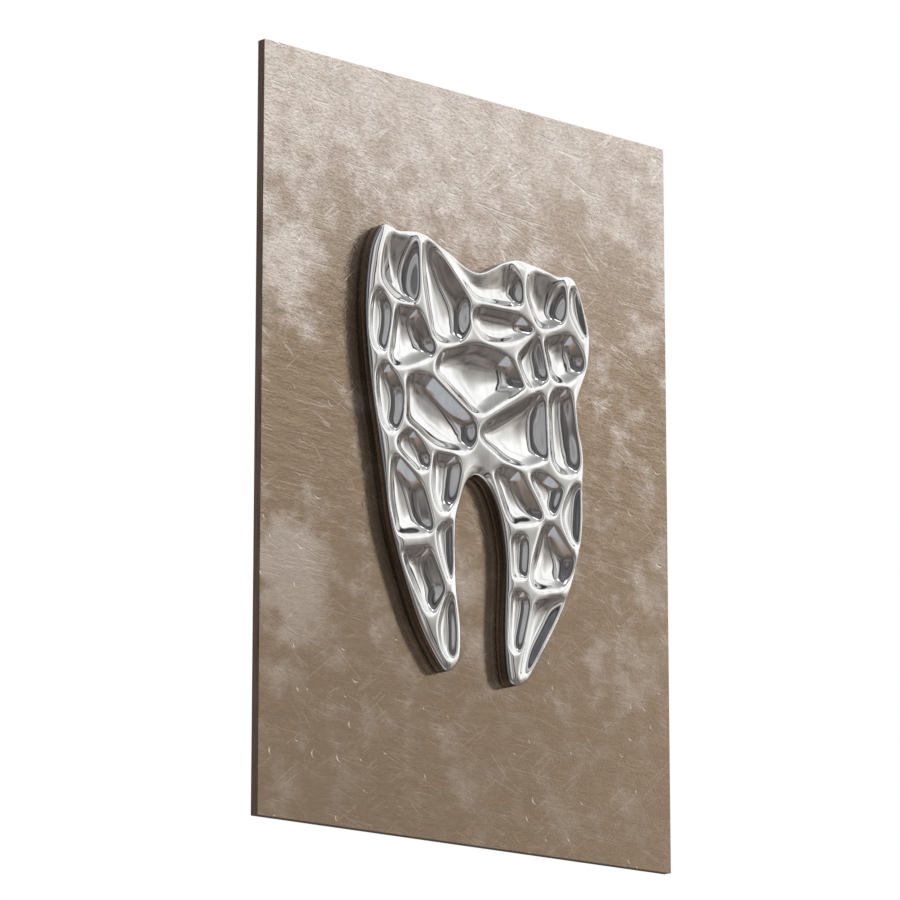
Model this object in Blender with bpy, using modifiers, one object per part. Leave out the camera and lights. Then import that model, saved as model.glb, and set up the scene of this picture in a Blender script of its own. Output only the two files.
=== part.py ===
# Wall sculpture of a tooth: a polished relief with dished cells on a metal-faced panel,
# hung on a pair of 45 degree rails.
# All lengths are in metres. The wall is the plane y = 0, the front looks towards -Y, +Z is up.
# The world origin is the centre of the wall cleat's rear face.
# "Depth" below is the distance from the wall, so a point at depth d has y = -d.

import math

import bmesh
import bpy
from mathutils import Matrix

# Clearance kept between pieces that touch or are glued
GAP = 0.0003

# Panel: metal-effect sheet on a board with edge strips
PANEL_WIDTH = 0.500
PANEL_HEIGHT = 0.700
CORE_THICKNESS = 0.008
SHEET_THICKNESS = 0.0008
BAND_THICKNESS = 0.001

# Rear frame
BATTEN_THICKNESS = 0.015
BATTEN_WIDTH = 0.030
FRAME_SETBACK = 0.050
CLEAT_HEIGHT = 0.050
BATTEN_CHAMFER = 0.001

# Wall cleat that the frame's top rail hooks over
WALL_CLEAT_THICKNESS = 0.017
WALL_CLEAT_REAR_HEIGHT = 0.032
WALL_CLEAT_LENGTH = 0.300
WALL_SCREW_SPACING = 0.240
WALL_SCREW_RADIUS = 0.0025
WALL_SCREW_HEAD_RADIUS = 0.005

# Pads that keep the frame off the wall
BUMPER_THICKNESS = 0.003
BUMPER_RADIUS = 0.010
BUMPER_FROM_END = 0.020

# Tooth: the drawn points below are scaled to this height
TOOTH_HEIGHT = 0.403
SKIRT_HEIGHT = 0.0133
SKIRT_WALL = 0.003
RIM_THICKNESS = 0.0031
RIM_ROUND_HEIGHT = 0.0026
RIM_ROUND_WIDTH = 0.006
RIM_ROUND_STEPS = 2

# Dished cells
CELL_FLOOR = 0.0037
CELL_WALL_RUN = 0.0165
CELL_RIM_ROUND = 0.0012
CELL_CORNER_ROUND = 0.003
CELL_WALL_POWER = 1.45
CELL_INNERMOST_SHARE = 0.92
CELL_FIRST_LEVEL = -0.0004
CELL_CUTTER_OUTSIDE = 0.0018
CELL_CUTTER_STAND = 0.0006
CELL_LEVELS = (0.17, 0.5, 1.0)
CELL_RING_POINTS = 14

# Screws, washers and inserts that hold the relief from behind
RELIEF_SCREW_RADIUS = 0.0025
RELIEF_SCREW_HEAD_RADIUS = 0.00475
RELIEF_SCREW_HEAD_HEIGHT = 0.00275
RELIEF_SCREW_HEAD_EDGE = 0.0007
RELIEF_SCREW_HEAD_FLAT = 0.0026
RELIEF_SCREW_KEY = 0.003
RELIEF_SCREW_KEY_DEPTH = 0.0016
RELIEF_SCREW_PAST_INSERT = 0.0005
WASHER_RADIUS = 0.0075
WASHER_THICKNESS = 0.0012
INSERT_RADIUS = 0.0035
INSERT_LENGTH = 0.008

# Countersunk wood screws that hold the frame
FRAME_SCREW_RADIUS = 0.00175
FRAME_SCREW_HEAD_RADIUS = 0.0034
FRAME_SCREW_SUNK = 0.0002
FRAME_SCREW_POINT = 0.0025
FRAME_SCREW_TIP_COVER = 0.002
FRAME_SCREW_FROM_END = 0.060
CROSS_LENGTH = 0.0036
CROSS_WIDTH = 0.0009
CROSS_ROOT = 1.25
CROSS_DEPTH = 0.0013

ROUND_STEPS = 16
SMALL_ROUND_STEPS = 12

# Depths of the layers, from the wall forwards
FRAME_BACK = BUMPER_THICKNESS + GAP
FRAME_FRONT = FRAME_BACK + BATTEN_THICKNESS
CORE_BACK = FRAME_FRONT + GAP
CORE_FRONT = CORE_BACK + CORE_THICKNESS
SHEET_BACK = CORE_FRONT + GAP
SHEET_FRONT = SHEET_BACK + SHEET_THICKNESS
TOOTH_BACK = SHEET_FRONT + GAP
SKIRT_FRONT = TOOTH_BACK + SKIRT_HEIGHT
RIM_BACK = SKIRT_FRONT + GAP
CREST = RIM_BACK + RIM_THICKNESS
CELL_DEPTH = CREST - TOOTH_BACK - CELL_FLOOR

# Heights, measured from the panel's centre
FRAME_TOP = PANEL_HEIGHT / 2 - FRAME_SETBACK
HOOK_HEIGHT = FRAME_TOP - CLEAT_HEIGHT
WALL_CLEAT_TOP = HOOK_HEIGHT - FRAME_BACK - GAP * math.sqrt(2)
PANEL_DROP = WALL_CLEAT_TOP - WALL_CLEAT_REAR_HEIGHT / 2

# Outline of the tooth in drawing units (x right, z up from the panel's centre), clockwise
TOOTH_OUTLINE = (
    (-122, 199), (-111, 200), (-101, 197.5), (-90, 199.5), (-78, 201), (-66, 199),
    (-52, 193), (-36, 186.5), (-22, 179.5), (-9, 176), (2, 178), (14, 184),
    (26, 191.5), (40, 197), (52, 198), (68, 196), (84, 193.5), (96, 191.5),
    (107.5, 194), (116, 192), (122.5, 183), (130, 163), (135, 145), (136, 129),
    (133, 110), (125, 90), (119, 73), (121, 50), (126, 31), (127, 12),
    (125.5, -10), (125.5, -38), (121, -68), (108, -107), (87, -148), (60, -189),
    (51, -198.5), (40, -202), (32, -195), (28.5, -170), (28, -145), (29.5, -110),
    (29.5, -85), (25, -57), (17, -34), (6, -19), (-8, -14), (-19, -22),
    (-27, -40), (-33, -62), (-33.5, -95), (-31, -130), (-27, -158), (-28, -184),
    (-35, -196), (-45, -199), (-58, -186), (-76, -160), (-90, -130), (-103, -97),
    (-112, -68), (-118, -32), (-125, 5), (-133, 46), (-138, 80), (-141, 118),
    (-139, 152), (-134, 178),
)
OUTLINE_STEPS = 2

# Rims of the dished cells in the same drawing units, each a convex polygon
CELL_RIMS = (
    ((-120, 195.5), (-128, 157), (-126, 146), (-107, 131), (-84, 131), (-79, 140), (-79, 195.5)),
    ((-75, 196), (-75, 158), (-62, 105), (-46, 100), (-28, 105), (-16, 124), (-16, 147), (-58, 195)),
    ((-29, 166), (24, 183), (41, 189), (50, 176), (49, 155), (41, 150), (-10, 149)),
    ((-15, 139), (-6, 145), (46, 146), (65, 134), (52, 123), (26, 113), (4, 112), (-11, 122)),
    ((56, 194), (52, 168), (68, 137), (81, 136), (101, 147), (106, 163), (104, 182), (95, 189.5)),
    ((109, 184), (108, 158), (128, 133), (132, 136), (128.5, 158), (119, 187)),
    ((-134, 137), (-124, 140), (-112, 124), (-112, 104), (-121, 80), (-132, 80), (-138, 94), (-138, 124)),
    ((-107, 127), (-80, 129), (-59, 98), (-60, 88), (-96, 70), (-109, 69), (-115, 77)),
    ((-59, 84), (-50, 95.5), (-8, 109), (16, 108), (36, 101.5), (52, 78), (0, 42), (-13, 42), (-59, 72)),
    ((68, 133), (41, 104.5), (53, 80), (62, 76), (81, 90), (80, 102)),
    ((75, 128), (104, 139), (113, 137), (129, 116), (128, 105), (104, 88), (91, 88), (84, 93)),
    ((-131, 64), (-125, 72), (-113, 71), (-97, 50), (-96, 33), (-106, 9), (-116, 7), (-123, 13), (-131, 44)),
    ((-94, 64), (-84, 69), (-64, 69), (-10, 36), (-8, 20), (-18, 5), (-32, 2), (-58, 3.5), (-94, 22.5)),
    ((-6, 28), (2, 37), (70, 77), (78, 70), (80, 14), (52, 1), (30, 2), (-4, 20)),
    ((81, 72), (89, 84), (104, 87), (112, 80), (122.5, 32), (123, 12), (114, 3), (95, 2), (84, 14)),
    ((-95, 15.5), (-83, 15), (-65, -6.5), (-65, -17), (-77, -24), (-104, -7), (-107, 2)),
    ((-112, -12), (-102, -12), (-75, -32), (-61, -72), (-66, -78), (-103, -85), (-114, -50)),
    ((-61, -2), (-34, 0), (-27, -8), (-33, -44), (-49, -58), (-57, -54), (-64, -36)),
    ((-59, -72), (-48, -62), (-37, -60), (-36, -112), (-42, -122), (-58, -86)),
    ((-99, -97), (-66, -89), (-47, -127), (-62, -151), (-69, -152), (-96, -110)),
    ((-45, -128), (-36, -130), (-31, -162), (-33, -186), (-42, -192), (-52, -183), (-57, -160)),
    ((12, -8), (24, 0), (46, -3), (74, -40), (70, -47), (38, -55), (30, -50)),
    ((56, -3), (66, 2), (78, 1), (100, -11), (89, -38), (80, -42)),
    ((122, -1), (112, -3), (97, -30), (97, -42), (110, -64), (118, -64), (122.5, -30)),
    ((33, -64), (40, -60), (52, -60), (56, -66), (53, -102), (46, -105), (36, -105)),
    ((74, -47), (88, -46), (114, -73), (109, -95), (96, -106), (68, -111), (58, -106), (57.5, -92)),
    ((34, -116), (43, -112), (55, -117), (58, -126), (46, -170), (38, -175), (31, -170)),
    ((62, -121), (72, -116), (102, -111), (49.5, -194), (43, -197)),
)

# Cell walls that run down more gently, as cell, edge and share of a plain wall's slope
GENTLE_WALLS = (
    (0, 6, 0.25), (1, 6, 0.75), (1, 7, 0.6), (2, 0, 0.25), (2, 1, 0.4), (4, 6, 0.5), (4, 7, 0.25),
    (27, 0, 0.4), (27, 1, 0.4),
)

# Places of the fixing screws in the same drawing units, each under a meeting of ribs
FIXING_POINTS = ((-77, 133), (106, 144), (-8, 38), (-62, -82), (60, -113))


def clear_scene():
    """Remove every object that the file opened with."""
    for thing in list(bpy.data.objects):
        bpy.data.objects.remove(thing, do_unlink=True)


def new_collection(name):
    """A collection linked to the scene."""
    collection = bpy.data.collections.new(name)
    bpy.context.scene.collection.children.link(collection)
    return collection


def make_material(name, color, metallic, roughness):
    """A Principled material with a plain colour."""
    material = bpy.data.materials.new(name)
    material.use_nodes = True
    material.diffuse_color = (*color, 1.0)
    shader = material.node_tree.nodes["Principled BSDF"]
    shader.inputs["Base Color"].default_value = (*color, 1.0)
    shader.inputs["Metallic"].default_value = metallic
    shader.inputs["Roughness"].default_value = roughness
    return material


def add_object(name, mesh, collection, parent):
    """An object for a mesh, hung on the panel's centre."""
    thing = bpy.data.objects.new(name, mesh)
    collection.objects.link(thing)
    thing.parent = parent
    return thing


def add_part(name, mesh, material, sharp_angle=30):
    """A named sub-part, smooth where its faces meet at less than the sharp angle."""
    mesh.name = name
    mesh.materials.clear()
    mesh.materials.append(material)
    mesh.shade_smooth()
    mesh.set_sharp_from_angle(angle=math.radians(sharp_angle))
    return add_object(name, mesh, PARTS, CENTRE)


def cut(part, name, mesh):
    """Cut a part with a closed mesh that stays behind as a hidden wire."""
    cutter = add_object(name, mesh, CUTTERS, CENTRE)
    cutter.display_type = "WIRE"
    cutter.hide_render = True
    cutter.hide_set(True)
    boolean = part.modifiers.new(name, "BOOLEAN")
    boolean.operation = "DIFFERENCE"
    boolean.solver = "EXACT"
    boolean.object = cutter


def chamfer(part, width):
    """Small flat chamfer on the sharp edges."""
    bevel = part.modifiers.new("edge_chamfer", "BEVEL")
    bevel.width = width
    bevel.segments = 1
    bevel.limit_method = "ANGLE"
    bevel.angle_limit = math.radians(40)


def mesh_from_bmesh(name, work):
    """Finish a bmesh with its faces looking outwards and turn it into a mesh."""
    bmesh.ops.recalc_face_normals(work, faces=work.faces)
    mesh = bpy.data.meshes.new(name)
    work.to_mesh(mesh)
    work.free()
    return mesh


def evaluated_mesh(name, holder):
    """Mesh of an object after its modifiers or curve settings; the object is removed."""
    bpy.context.view_layer.update()
    depsgraph = bpy.context.evaluated_depsgraph_get()
    mesh = bpy.data.meshes.new_from_object(holder.evaluated_get(depsgraph))
    bpy.data.objects.remove(holder, do_unlink=True)
    work = bmesh.new()
    work.from_mesh(mesh)
    bpy.data.meshes.remove(mesh)
    bmesh.ops.remove_doubles(work, verts=work.verts, dist=0.000001)
    return mesh_from_bmesh(name, work)


def box_mesh(name, low, high):
    """Box between two corners given as (x, depth, z)."""
    work = bmesh.new()
    bmesh.ops.create_cube(work, size=1.0)
    size = [high[axis] - low[axis] for axis in range(3)]
    middle = [(high[axis] + low[axis]) / 2 for axis in range(3)]
    bmesh.ops.scale(work, vec=size, verts=work.verts)
    bmesh.ops.translate(work, vec=(middle[0], -middle[1], middle[2]), verts=work.verts)
    return mesh_from_bmesh(name, work)


def plate_mesh(name, outlines, thickness):
    """Plate from closed flat outlines, centred on its own mid plane, thickness along local Z."""
    curve = bpy.data.curves.new(name, "CURVE")
    curve.dimensions = "2D"
    curve.fill_mode = "BOTH"
    curve.extrude = thickness / 2
    for outline in outlines:
        spline = curve.splines.new("POLY")
        spline.points.add(len(outline) - 1)
        spline.use_cyclic_u = True
        for point, place in zip(spline.points, outline):
            point.co = (place[0], place[1], 0, 1)
    holder = bpy.data.objects.new(name, curve)
    PARTS.objects.link(holder)
    return evaluated_mesh(name, holder)


def front_plate_mesh(name, outlines, back, front):
    """Plate whose outlines lie in x and z, between two depths."""
    mesh = plate_mesh(name, outlines, front - back)
    stand_up = Matrix.Rotation(math.radians(90), 4, "X")
    mesh.transform(Matrix.Translation((0, -(back + front) / 2, 0)) @ stand_up)
    return mesh


def rail_mesh(name, section, length):
    """Rail along x, centred on x = 0, from a section given as (depth, z)."""
    mesh = plate_mesh(name, [[(-depth, height) for depth, height in section]], length)
    along_x = Matrix(((0, 0, 1, 0), (1, 0, 0, 0), (0, 1, 0, 0), (0, 0, 0, 1)))
    mesh.transform(along_x)
    return mesh


def turned_mesh(name, profile, steps, closed=False):
    """Turned shape about local Z; the profile of (radius, z) runs down its outer side."""
    outline = bpy.data.meshes.new(name)
    points = [(radius, 0, height) for radius, height in profile]
    edges = [(index, index + 1) for index in range(len(points) - 1)]
    if closed:
        edges.append((len(points) - 1, 0))
    outline.from_pydata(points, edges, [])
    holder = bpy.data.objects.new(name, outline)
    PARTS.objects.link(holder)
    screw = holder.modifiers.new("turn", "SCREW")
    screw.axis = "Z"
    screw.steps = steps
    screw.render_steps = steps
    screw.use_merge_vertices = True
    screw.merge_threshold = 0.000001
    return evaluated_mesh(name, holder)


def ring_mesh(name, inner, outer, thickness, steps):
    """Flat ring or tube that stands on local Z = 0."""
    profile = [(inner, thickness), (outer, thickness), (outer, 0), (inner, 0)]
    return turned_mesh(name, profile, steps, closed=True)


def repeated_mesh(name, mesh, places, depth):
    """Copies of one mesh whose local +Z points forwards, at places (x, z) and one depth."""
    forwards = Matrix.Rotation(math.radians(90), 4, "X")
    work = bmesh.new()
    for x, z in places:
        copy = mesh.copy()
        copy.transform(Matrix.Translation((x, -depth, z)) @ forwards)
        work.from_mesh(copy)
        bpy.data.meshes.remove(copy)
    return mesh_from_bmesh(name, work)


def add_copies(name, mesh, material, places, depth):
    """Numbered sub-parts that share one mesh, local +Z forwards, at places (x, z) and one depth."""
    mesh.name = name
    mesh.materials.clear()
    mesh.materials.append(material)
    mesh.shade_smooth()
    mesh.set_sharp_from_angle(angle=math.radians(30))
    for number, (x, z) in enumerate(places, start=1):
        copy = add_object(f"{name}_{number}", mesh, PARTS, CENTRE)
        copy.location = (x, -depth, z)
        copy.rotation_euler = (math.radians(90), 0, 0)


def cut_mesh(name, mesh, tool):
    """Mesh with a recess cut out of it by another closed mesh."""
    holder = bpy.data.objects.new(name, mesh)
    cutter = bpy.data.objects.new(name + "_tool", tool)
    for thing in (holder, cutter):
        PARTS.objects.link(thing)
    boolean = holder.modifiers.new("recess", "BOOLEAN")
    boolean.operation = "DIFFERENCE"
    boolean.solver = "EXACT"
    boolean.object = cutter
    result = evaluated_mesh(name, holder)
    bpy.data.objects.remove(cutter, do_unlink=True)
    return result


def cylinder_mesh(name, radius, low, high, steps):
    """Cylinder about local Z between two heights."""
    work = bmesh.new()
    bmesh.ops.create_cone(
        work, cap_ends=True, segments=steps, radius1=radius, radius2=radius, depth=high - low
    )
    bmesh.ops.translate(work, vec=(0, 0, (low + high) / 2), verts=work.verts)
    return mesh_from_bmesh(name, work)


def drill_mesh(name, radius, places, back, front, steps):
    """Cylinders for holes between two depths."""
    drill = cylinder_mesh(name, radius, 0, front - back, steps)
    return repeated_mesh(name, drill, places, back)


def loft_mesh(name, rings):
    """Closed solid through rings of equally many points, with flat ends."""
    work = bmesh.new()
    loops = [[work.verts.new(place) for place in ring] for ring in rings]
    count = len(loops[0])
    sides = []
    for lower, upper in zip(loops, loops[1:]):
        for index in range(count):
            after = (index + 1) % count
            sides.append(work.faces.new((lower[index], lower[after], upper[after], upper[index])))
    bmesh.ops.triangulate(work, faces=sides)
    work.faces.new(loops[0])
    work.faces.new(loops[-1])
    return mesh_from_bmesh(name, work)


def joined_mesh(name, meshes):
    """Several closed meshes in one, none touching another."""
    work = bmesh.new()
    for mesh in meshes:
        work.from_mesh(mesh)
        bpy.data.meshes.remove(mesh)
    return mesh_from_bmesh(name, work)


def drawing_scale():
    """Metres for one drawing unit, from the tooth's real height."""
    heights = [z for x, z in TOOTH_OUTLINE]
    return TOOTH_HEIGHT / (max(heights) - min(heights))


def from_drawing(points):
    """Drawn points in metres."""
    scale = drawing_scale()
    return [(x * scale, z * scale) for x, z in points]


def smooth_closed_curve(points, steps):
    """Catmull-Rom curve through the points of a closed outline."""
    curve = []
    count = len(points)
    for index in range(count):
        before, start, end, after = (points[(index + shift) % count] for shift in (-1, 0, 1, 2))
        for step in range(steps):
            t = step / steps
            place = []
            for axis in range(2):
                bend = (
                    2 * start[axis]
                    + (end[axis] - before[axis]) * t
                    + (2 * before[axis] - 5 * start[axis] + 4 * end[axis] - after[axis]) * t ** 2
                    + (3 * start[axis] - before[axis] - 3 * end[axis] + after[axis]) * t ** 3
                )
                place.append(bend / 2)
            curve.append(tuple(place))
    return curve


def inset(outline, distance):
    """Clockwise outline moved inwards along its normals."""
    moved = []
    count = len(outline)
    for index, (x, z) in enumerate(outline):
        x_before, z_before = outline[index - 1]
        x_after, z_after = outline[(index + 1) % count]
        along_x = x_after - x_before
        along_z = z_after - z_before
        length = math.hypot(along_x, along_z)
        moved.append((x + distance * along_z / length, z - distance * along_x / length))
    return moved


def at_depth(outline, depth):
    """Flat ring of 3-D points for a loft."""
    return [(x, -depth, z) for x, z in outline]


def slope_share(cell, edge):
    """Share of a plain wall's slope that the wall under one edge of a cell has."""
    for gentle_cell, gentle_edge, share in GENTLE_WALLS:
        if (cell, edge) == (gentle_cell, gentle_edge):
            return share
    return 1.0


def inward_edges(rim, cell):
    """Edges of a cell as (point, normal towards its inside), the normal as long as its slope."""
    middle_x = sum(x for x, z in rim) / len(rim)
    middle_z = sum(z for x, z in rim) / len(rim)
    edges = []
    for edge, ((x, z), (x_next, z_next)) in enumerate(zip(rim, rim[1:] + rim[:1])):
        length = math.hypot(x_next - x, z_next - z) / slope_share(cell, edge)
        normal_x = (z - z_next) / length
        normal_z = (x_next - x) / length
        if normal_x * (middle_x - x) + normal_z * (middle_z - z) < 0:
            normal_x = -normal_x
            normal_z = -normal_z
        edges.append((x, z, normal_x, normal_z))
    return edges


def rim_distance(edges, x, z):
    """Distance inside a cell's rim, smoothed so that its corners are round."""
    total = 0.0
    for start_x, start_z, normal_x, normal_z in edges:
        distance = (x - start_x) * normal_x + (z - start_z) * normal_z
        total += math.exp(-distance / CELL_CORNER_ROUND)
    return -CELL_CORNER_ROUND * math.log(total)


def cell_drop(distance):
    """How far the cell's surface lies below the crest at a distance inside its rim."""
    rise = (distance + CELL_RIM_ROUND) / (CELL_WALL_RUN + CELL_RIM_ROUND)
    rise = min(max(rise, 0.0), 1.0)
    return CELL_DEPTH * math.sin(rise * math.pi / 2) ** CELL_WALL_POWER


def deepest_point(edges, rim):
    """Point of a cell farthest from its rim, found by ever smaller steps."""
    x = sum(place[0] for place in rim) / len(rim)
    z = sum(place[1] for place in rim) / len(rim)
    step = CELL_WALL_RUN
    smallest_step = GAP / 10
    while step > smallest_step:
        around = [(x, z), (x + step, z), (x - step, z), (x, z + step), (x, z - step)]
        best = max(around, key=lambda place: rim_distance(edges, place[0], place[1]))
        if best == (x, z):
            step /= 2
        x, z = best
    return x, z


def point_on_level(edges, centre, angle, level):
    """Point on a ray from the cell's centre where the distance inside the rim is level."""
    near = 0.0
    far = TOOTH_HEIGHT
    for halving in range(30):
        middle = (near + far) / 2
        x = centre[0] + math.cos(angle) * middle
        z = centre[1] + math.sin(angle) * middle
        if rim_distance(edges, x, z) > level:
            near = middle
        else:
            far = middle
    return centre[0] + math.cos(angle) * near, centre[1] + math.sin(angle) * near


def evenly_spaced_angles(edges, centre):
    """Ray angles that spread the ring's points evenly along the rim."""
    fine = 180
    angles = [2 * math.pi * index / fine for index in range(fine + 1)]
    places = [point_on_level(edges, centre, angle, 0.0) for angle in angles]
    run = [0.0]
    for start, end in zip(places, places[1:]):
        run.append(run[-1] + math.dist(start, end))
    chosen = []
    for index in range(CELL_RING_POINTS):
        wanted = run[-1] * index / CELL_RING_POINTS
        after = next(place for place, length in enumerate(run) if length > wanted)
        share = (wanted - run[after - 1]) / (run[after] - run[after - 1])
        chosen.append(angles[after - 1] + share * (angles[after] - angles[after - 1]))
    return chosen


def cell_cutter_mesh(cell):
    """Solid that fills one dished cell and stands out a little above the crest."""
    rim = from_drawing(CELL_RIMS[cell])
    edges = inward_edges(rim, cell)
    centre = deepest_point(edges, rim)
    angles = evenly_spaced_angles(edges, centre)
    deepest = rim_distance(edges, centre[0], centre[1])
    limit = min(CELL_WALL_RUN, CELL_INNERMOST_SHARE * deepest)
    levels = [
        (-CELL_CUTTER_OUTSIDE, -CELL_CUTTER_STAND),
        (CELL_FIRST_LEVEL, cell_drop(CELL_FIRST_LEVEL)),
    ]
    levels += [(limit * share, cell_drop(limit * share)) for share in CELL_LEVELS]
    rings = []
    for level, drop in levels:
        ring = [point_on_level(edges, centre, angle, level) for angle in angles]
        rings.append(at_depth(ring, CREST - drop))
    return loft_mesh("cell", rings)


def relief_blank_mesh(outline):
    """Relief before its cells are cut: a plug for the skirt under a rim with a rounded edge."""
    plug = inset(outline, SKIRT_WALL + GAP)
    rings = [at_depth(plug, TOOTH_BACK), at_depth(plug, RIM_BACK), at_depth(outline, RIM_BACK)]
    for step in range(RIM_ROUND_STEPS + 1):
        angle = math.radians(90) * step / RIM_ROUND_STEPS
        edge = inset(outline, RIM_ROUND_WIDTH * (1 - math.cos(angle)))
        rings.append(at_depth(edge, CREST - RIM_ROUND_HEIGHT * (1 - math.sin(angle))))
    return loft_mesh("tooth_relief", rings)


def insert_hole_depth():
    """Depth of the blind holes for the threaded inserts."""
    return GAP + INSERT_LENGTH + RELIEF_SCREW_PAST_INSERT + GAP


def add_tooth(relief_material, skirt_material):
    """The skirt ring and the relief that plugs into it."""
    outline = smooth_closed_curve(from_drawing(TOOTH_OUTLINE), OUTLINE_STEPS)
    ring = [outline, inset(outline, SKIRT_WALL)]
    skirt_mesh = front_plate_mesh("tooth_skirt", ring, TOOTH_BACK, SKIRT_FRONT)
    add_part("tooth_skirt", skirt_mesh, skirt_material)
    relief = add_part("tooth_relief", relief_blank_mesh(outline), relief_material, 40)
    cells = [cell_cutter_mesh(cell) for cell in range(len(CELL_RIMS))]
    cut(relief, "cells", joined_mesh("cells", cells))
    bottom = TOOTH_BACK + insert_hole_depth()
    holes = drill_mesh(
        "insert_holes", INSERT_RADIUS + GAP, from_drawing(FIXING_POINTS),
        TOOTH_BACK - GAP, bottom, ROUND_STEPS,
    )
    cut(relief, "insert_holes", holes)


def add_relief_fixings(steel, brass):
    """Screws from behind the board, their washers and the inserts that they turn into."""
    places = from_drawing(FIXING_POINTS)
    bore = RELIEF_SCREW_RADIUS + GAP
    insert = ring_mesh("relief_insert", bore, INSERT_RADIUS, INSERT_LENGTH, ROUND_STEPS)
    add_copies("relief_insert", insert, brass, places, TOOTH_BACK + GAP)
    washer_back = CORE_BACK - GAP - WASHER_THICKNESS
    washer = ring_mesh("relief_washer", bore, WASHER_RADIUS, WASHER_THICKNESS, ROUND_STEPS)
    add_copies("relief_washer", washer, steel, places, washer_back)
    head_front = washer_back - GAP
    tip = TOOTH_BACK + GAP + INSERT_LENGTH + RELIEF_SCREW_PAST_INSERT
    head = RELIEF_SCREW_HEAD_HEIGHT
    profile = [
        (0, tip - head_front),
        (RELIEF_SCREW_RADIUS, tip - head_front),
        (RELIEF_SCREW_RADIUS, 0),
        (RELIEF_SCREW_HEAD_RADIUS, 0),
    ]
    for turn in (0, 45, 90):
        angle = math.radians(turn)
        dome_width = RELIEF_SCREW_HEAD_RADIUS - RELIEF_SCREW_HEAD_FLAT
        dome_height = head - RELIEF_SCREW_HEAD_EDGE
        across = RELIEF_SCREW_HEAD_FLAT + dome_width * math.cos(angle)
        profile.append((across, -RELIEF_SCREW_HEAD_EDGE - dome_height * math.sin(angle)))
    profile.append((0, -head))
    screw = turned_mesh("relief_screw", profile, SMALL_ROUND_STEPS)
    key_radius = RELIEF_SCREW_KEY / 2 / math.cos(math.radians(30))
    key = cylinder_mesh("hex_key", key_radius, -head - GAP, -head + RELIEF_SCREW_KEY_DEPTH, 6)
    add_copies("relief_screw", cut_mesh("relief_screw", screw, key), steel, places, head_front)


def add_panel(sheet_material, core_material, band_material):
    """Board with its front sheet and the strips on its four edges."""
    half_width = PANEL_WIDTH / 2
    half_height = PANEL_HEIGHT / 2
    places = from_drawing(FIXING_POINTS)
    clearance = RELIEF_SCREW_RADIUS + GAP
    sheet_mesh = box_mesh(
        "laminate_face",
        (-half_width, SHEET_BACK, -half_height), (half_width, SHEET_FRONT, half_height),
    )
    sheet = add_part("laminate_face", sheet_mesh, sheet_material)
    sheet_holes = drill_mesh(
        "sheet_holes", clearance, places, SHEET_BACK - GAP / 2, SHEET_FRONT + GAP / 2, ROUND_STEPS
    )
    cut(sheet, "sheet_holes", sheet_holes)
    core_x = half_width - BAND_THICKNESS - GAP
    core_z = half_height - BAND_THICKNESS - GAP
    core_mesh = box_mesh(
        "core_board", (-core_x, CORE_BACK, -core_z), (core_x, CORE_FRONT, core_z)
    )
    core = add_part("core_board", core_mesh, core_material)
    core_holes = drill_mesh(
        "core_holes", clearance, places, CORE_BACK - GAP / 2, CORE_FRONT + GAP / 2, ROUND_STEPS
    )
    cut(core, "core_holes", core_holes)
    for side, name in ((-1, "edge_band_left"), (1, "edge_band_right")):
        inner = side * (half_width - BAND_THICKNESS)
        outer = side * half_width
        band = box_mesh(
            name,
            (min(inner, outer), CORE_BACK, -half_height), (max(inner, outer), CORE_FRONT, half_height),
        )
        add_part(name, band, band_material)
    for side, name in ((-1, "edge_band_bottom"), (1, "edge_band_top")):
        inner = side * (half_height - BAND_THICKNESS)
        outer = side * half_height
        band = box_mesh(
            name, (-core_x, CORE_BACK, min(inner, outer)), (core_x, CORE_FRONT, max(inner, outer))
        )
        add_part(name, band, band_material)
    return core


def frame_screw_tip():
    """Length of a frame screw from the frame's back to its point."""
    return BATTEN_THICKNESS + GAP + CORE_THICKNESS - FRAME_SCREW_TIP_COVER


def frame_screw_places():
    """Screws along the stiles, the cleat and the bottom rail as {node: places}."""
    stile_x = PANEL_WIDTH / 2 - FRAME_SETBACK - BATTEN_WIDTH / 2
    stile_z = FRAME_TOP - FRAME_SCREW_FROM_END
    rail_x = stile_x - BATTEN_WIDTH / 2 - FRAME_SCREW_FROM_END
    cleat_z = FRAME_TOP - (CLEAT_HEIGHT - BATTEN_THICKNESS) / 2
    rail_z = -FRAME_TOP + BATTEN_WIDTH / 2
    return {
        "stile_left": [(-stile_x, -stile_z), (-stile_x, stile_z)],
        "stile_right": [(stile_x, -stile_z), (stile_x, stile_z)],
        "hanging_cleat": [(-rail_x, cleat_z), (rail_x, cleat_z)],
        "bottom_rail": [(-rail_x, rail_z), (rail_x, rail_z)],
    }


def countersunk_profile(shank, head, sunk, length, point, clearance):
    """Profile of a countersunk screw, or of its hole when it has a clearance."""
    start = sunk
    head_radius = head
    end = length + clearance
    if clearance:
        start = -clearance
        head_radius = head + sunk + clearance * (1 + math.sqrt(2))
    radius = shank + clearance
    return [
        (0, end),
        (radius, length - point),
        (radius, start + head_radius - radius),
        (head_radius, start),
        (0, start),
    ]


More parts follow.
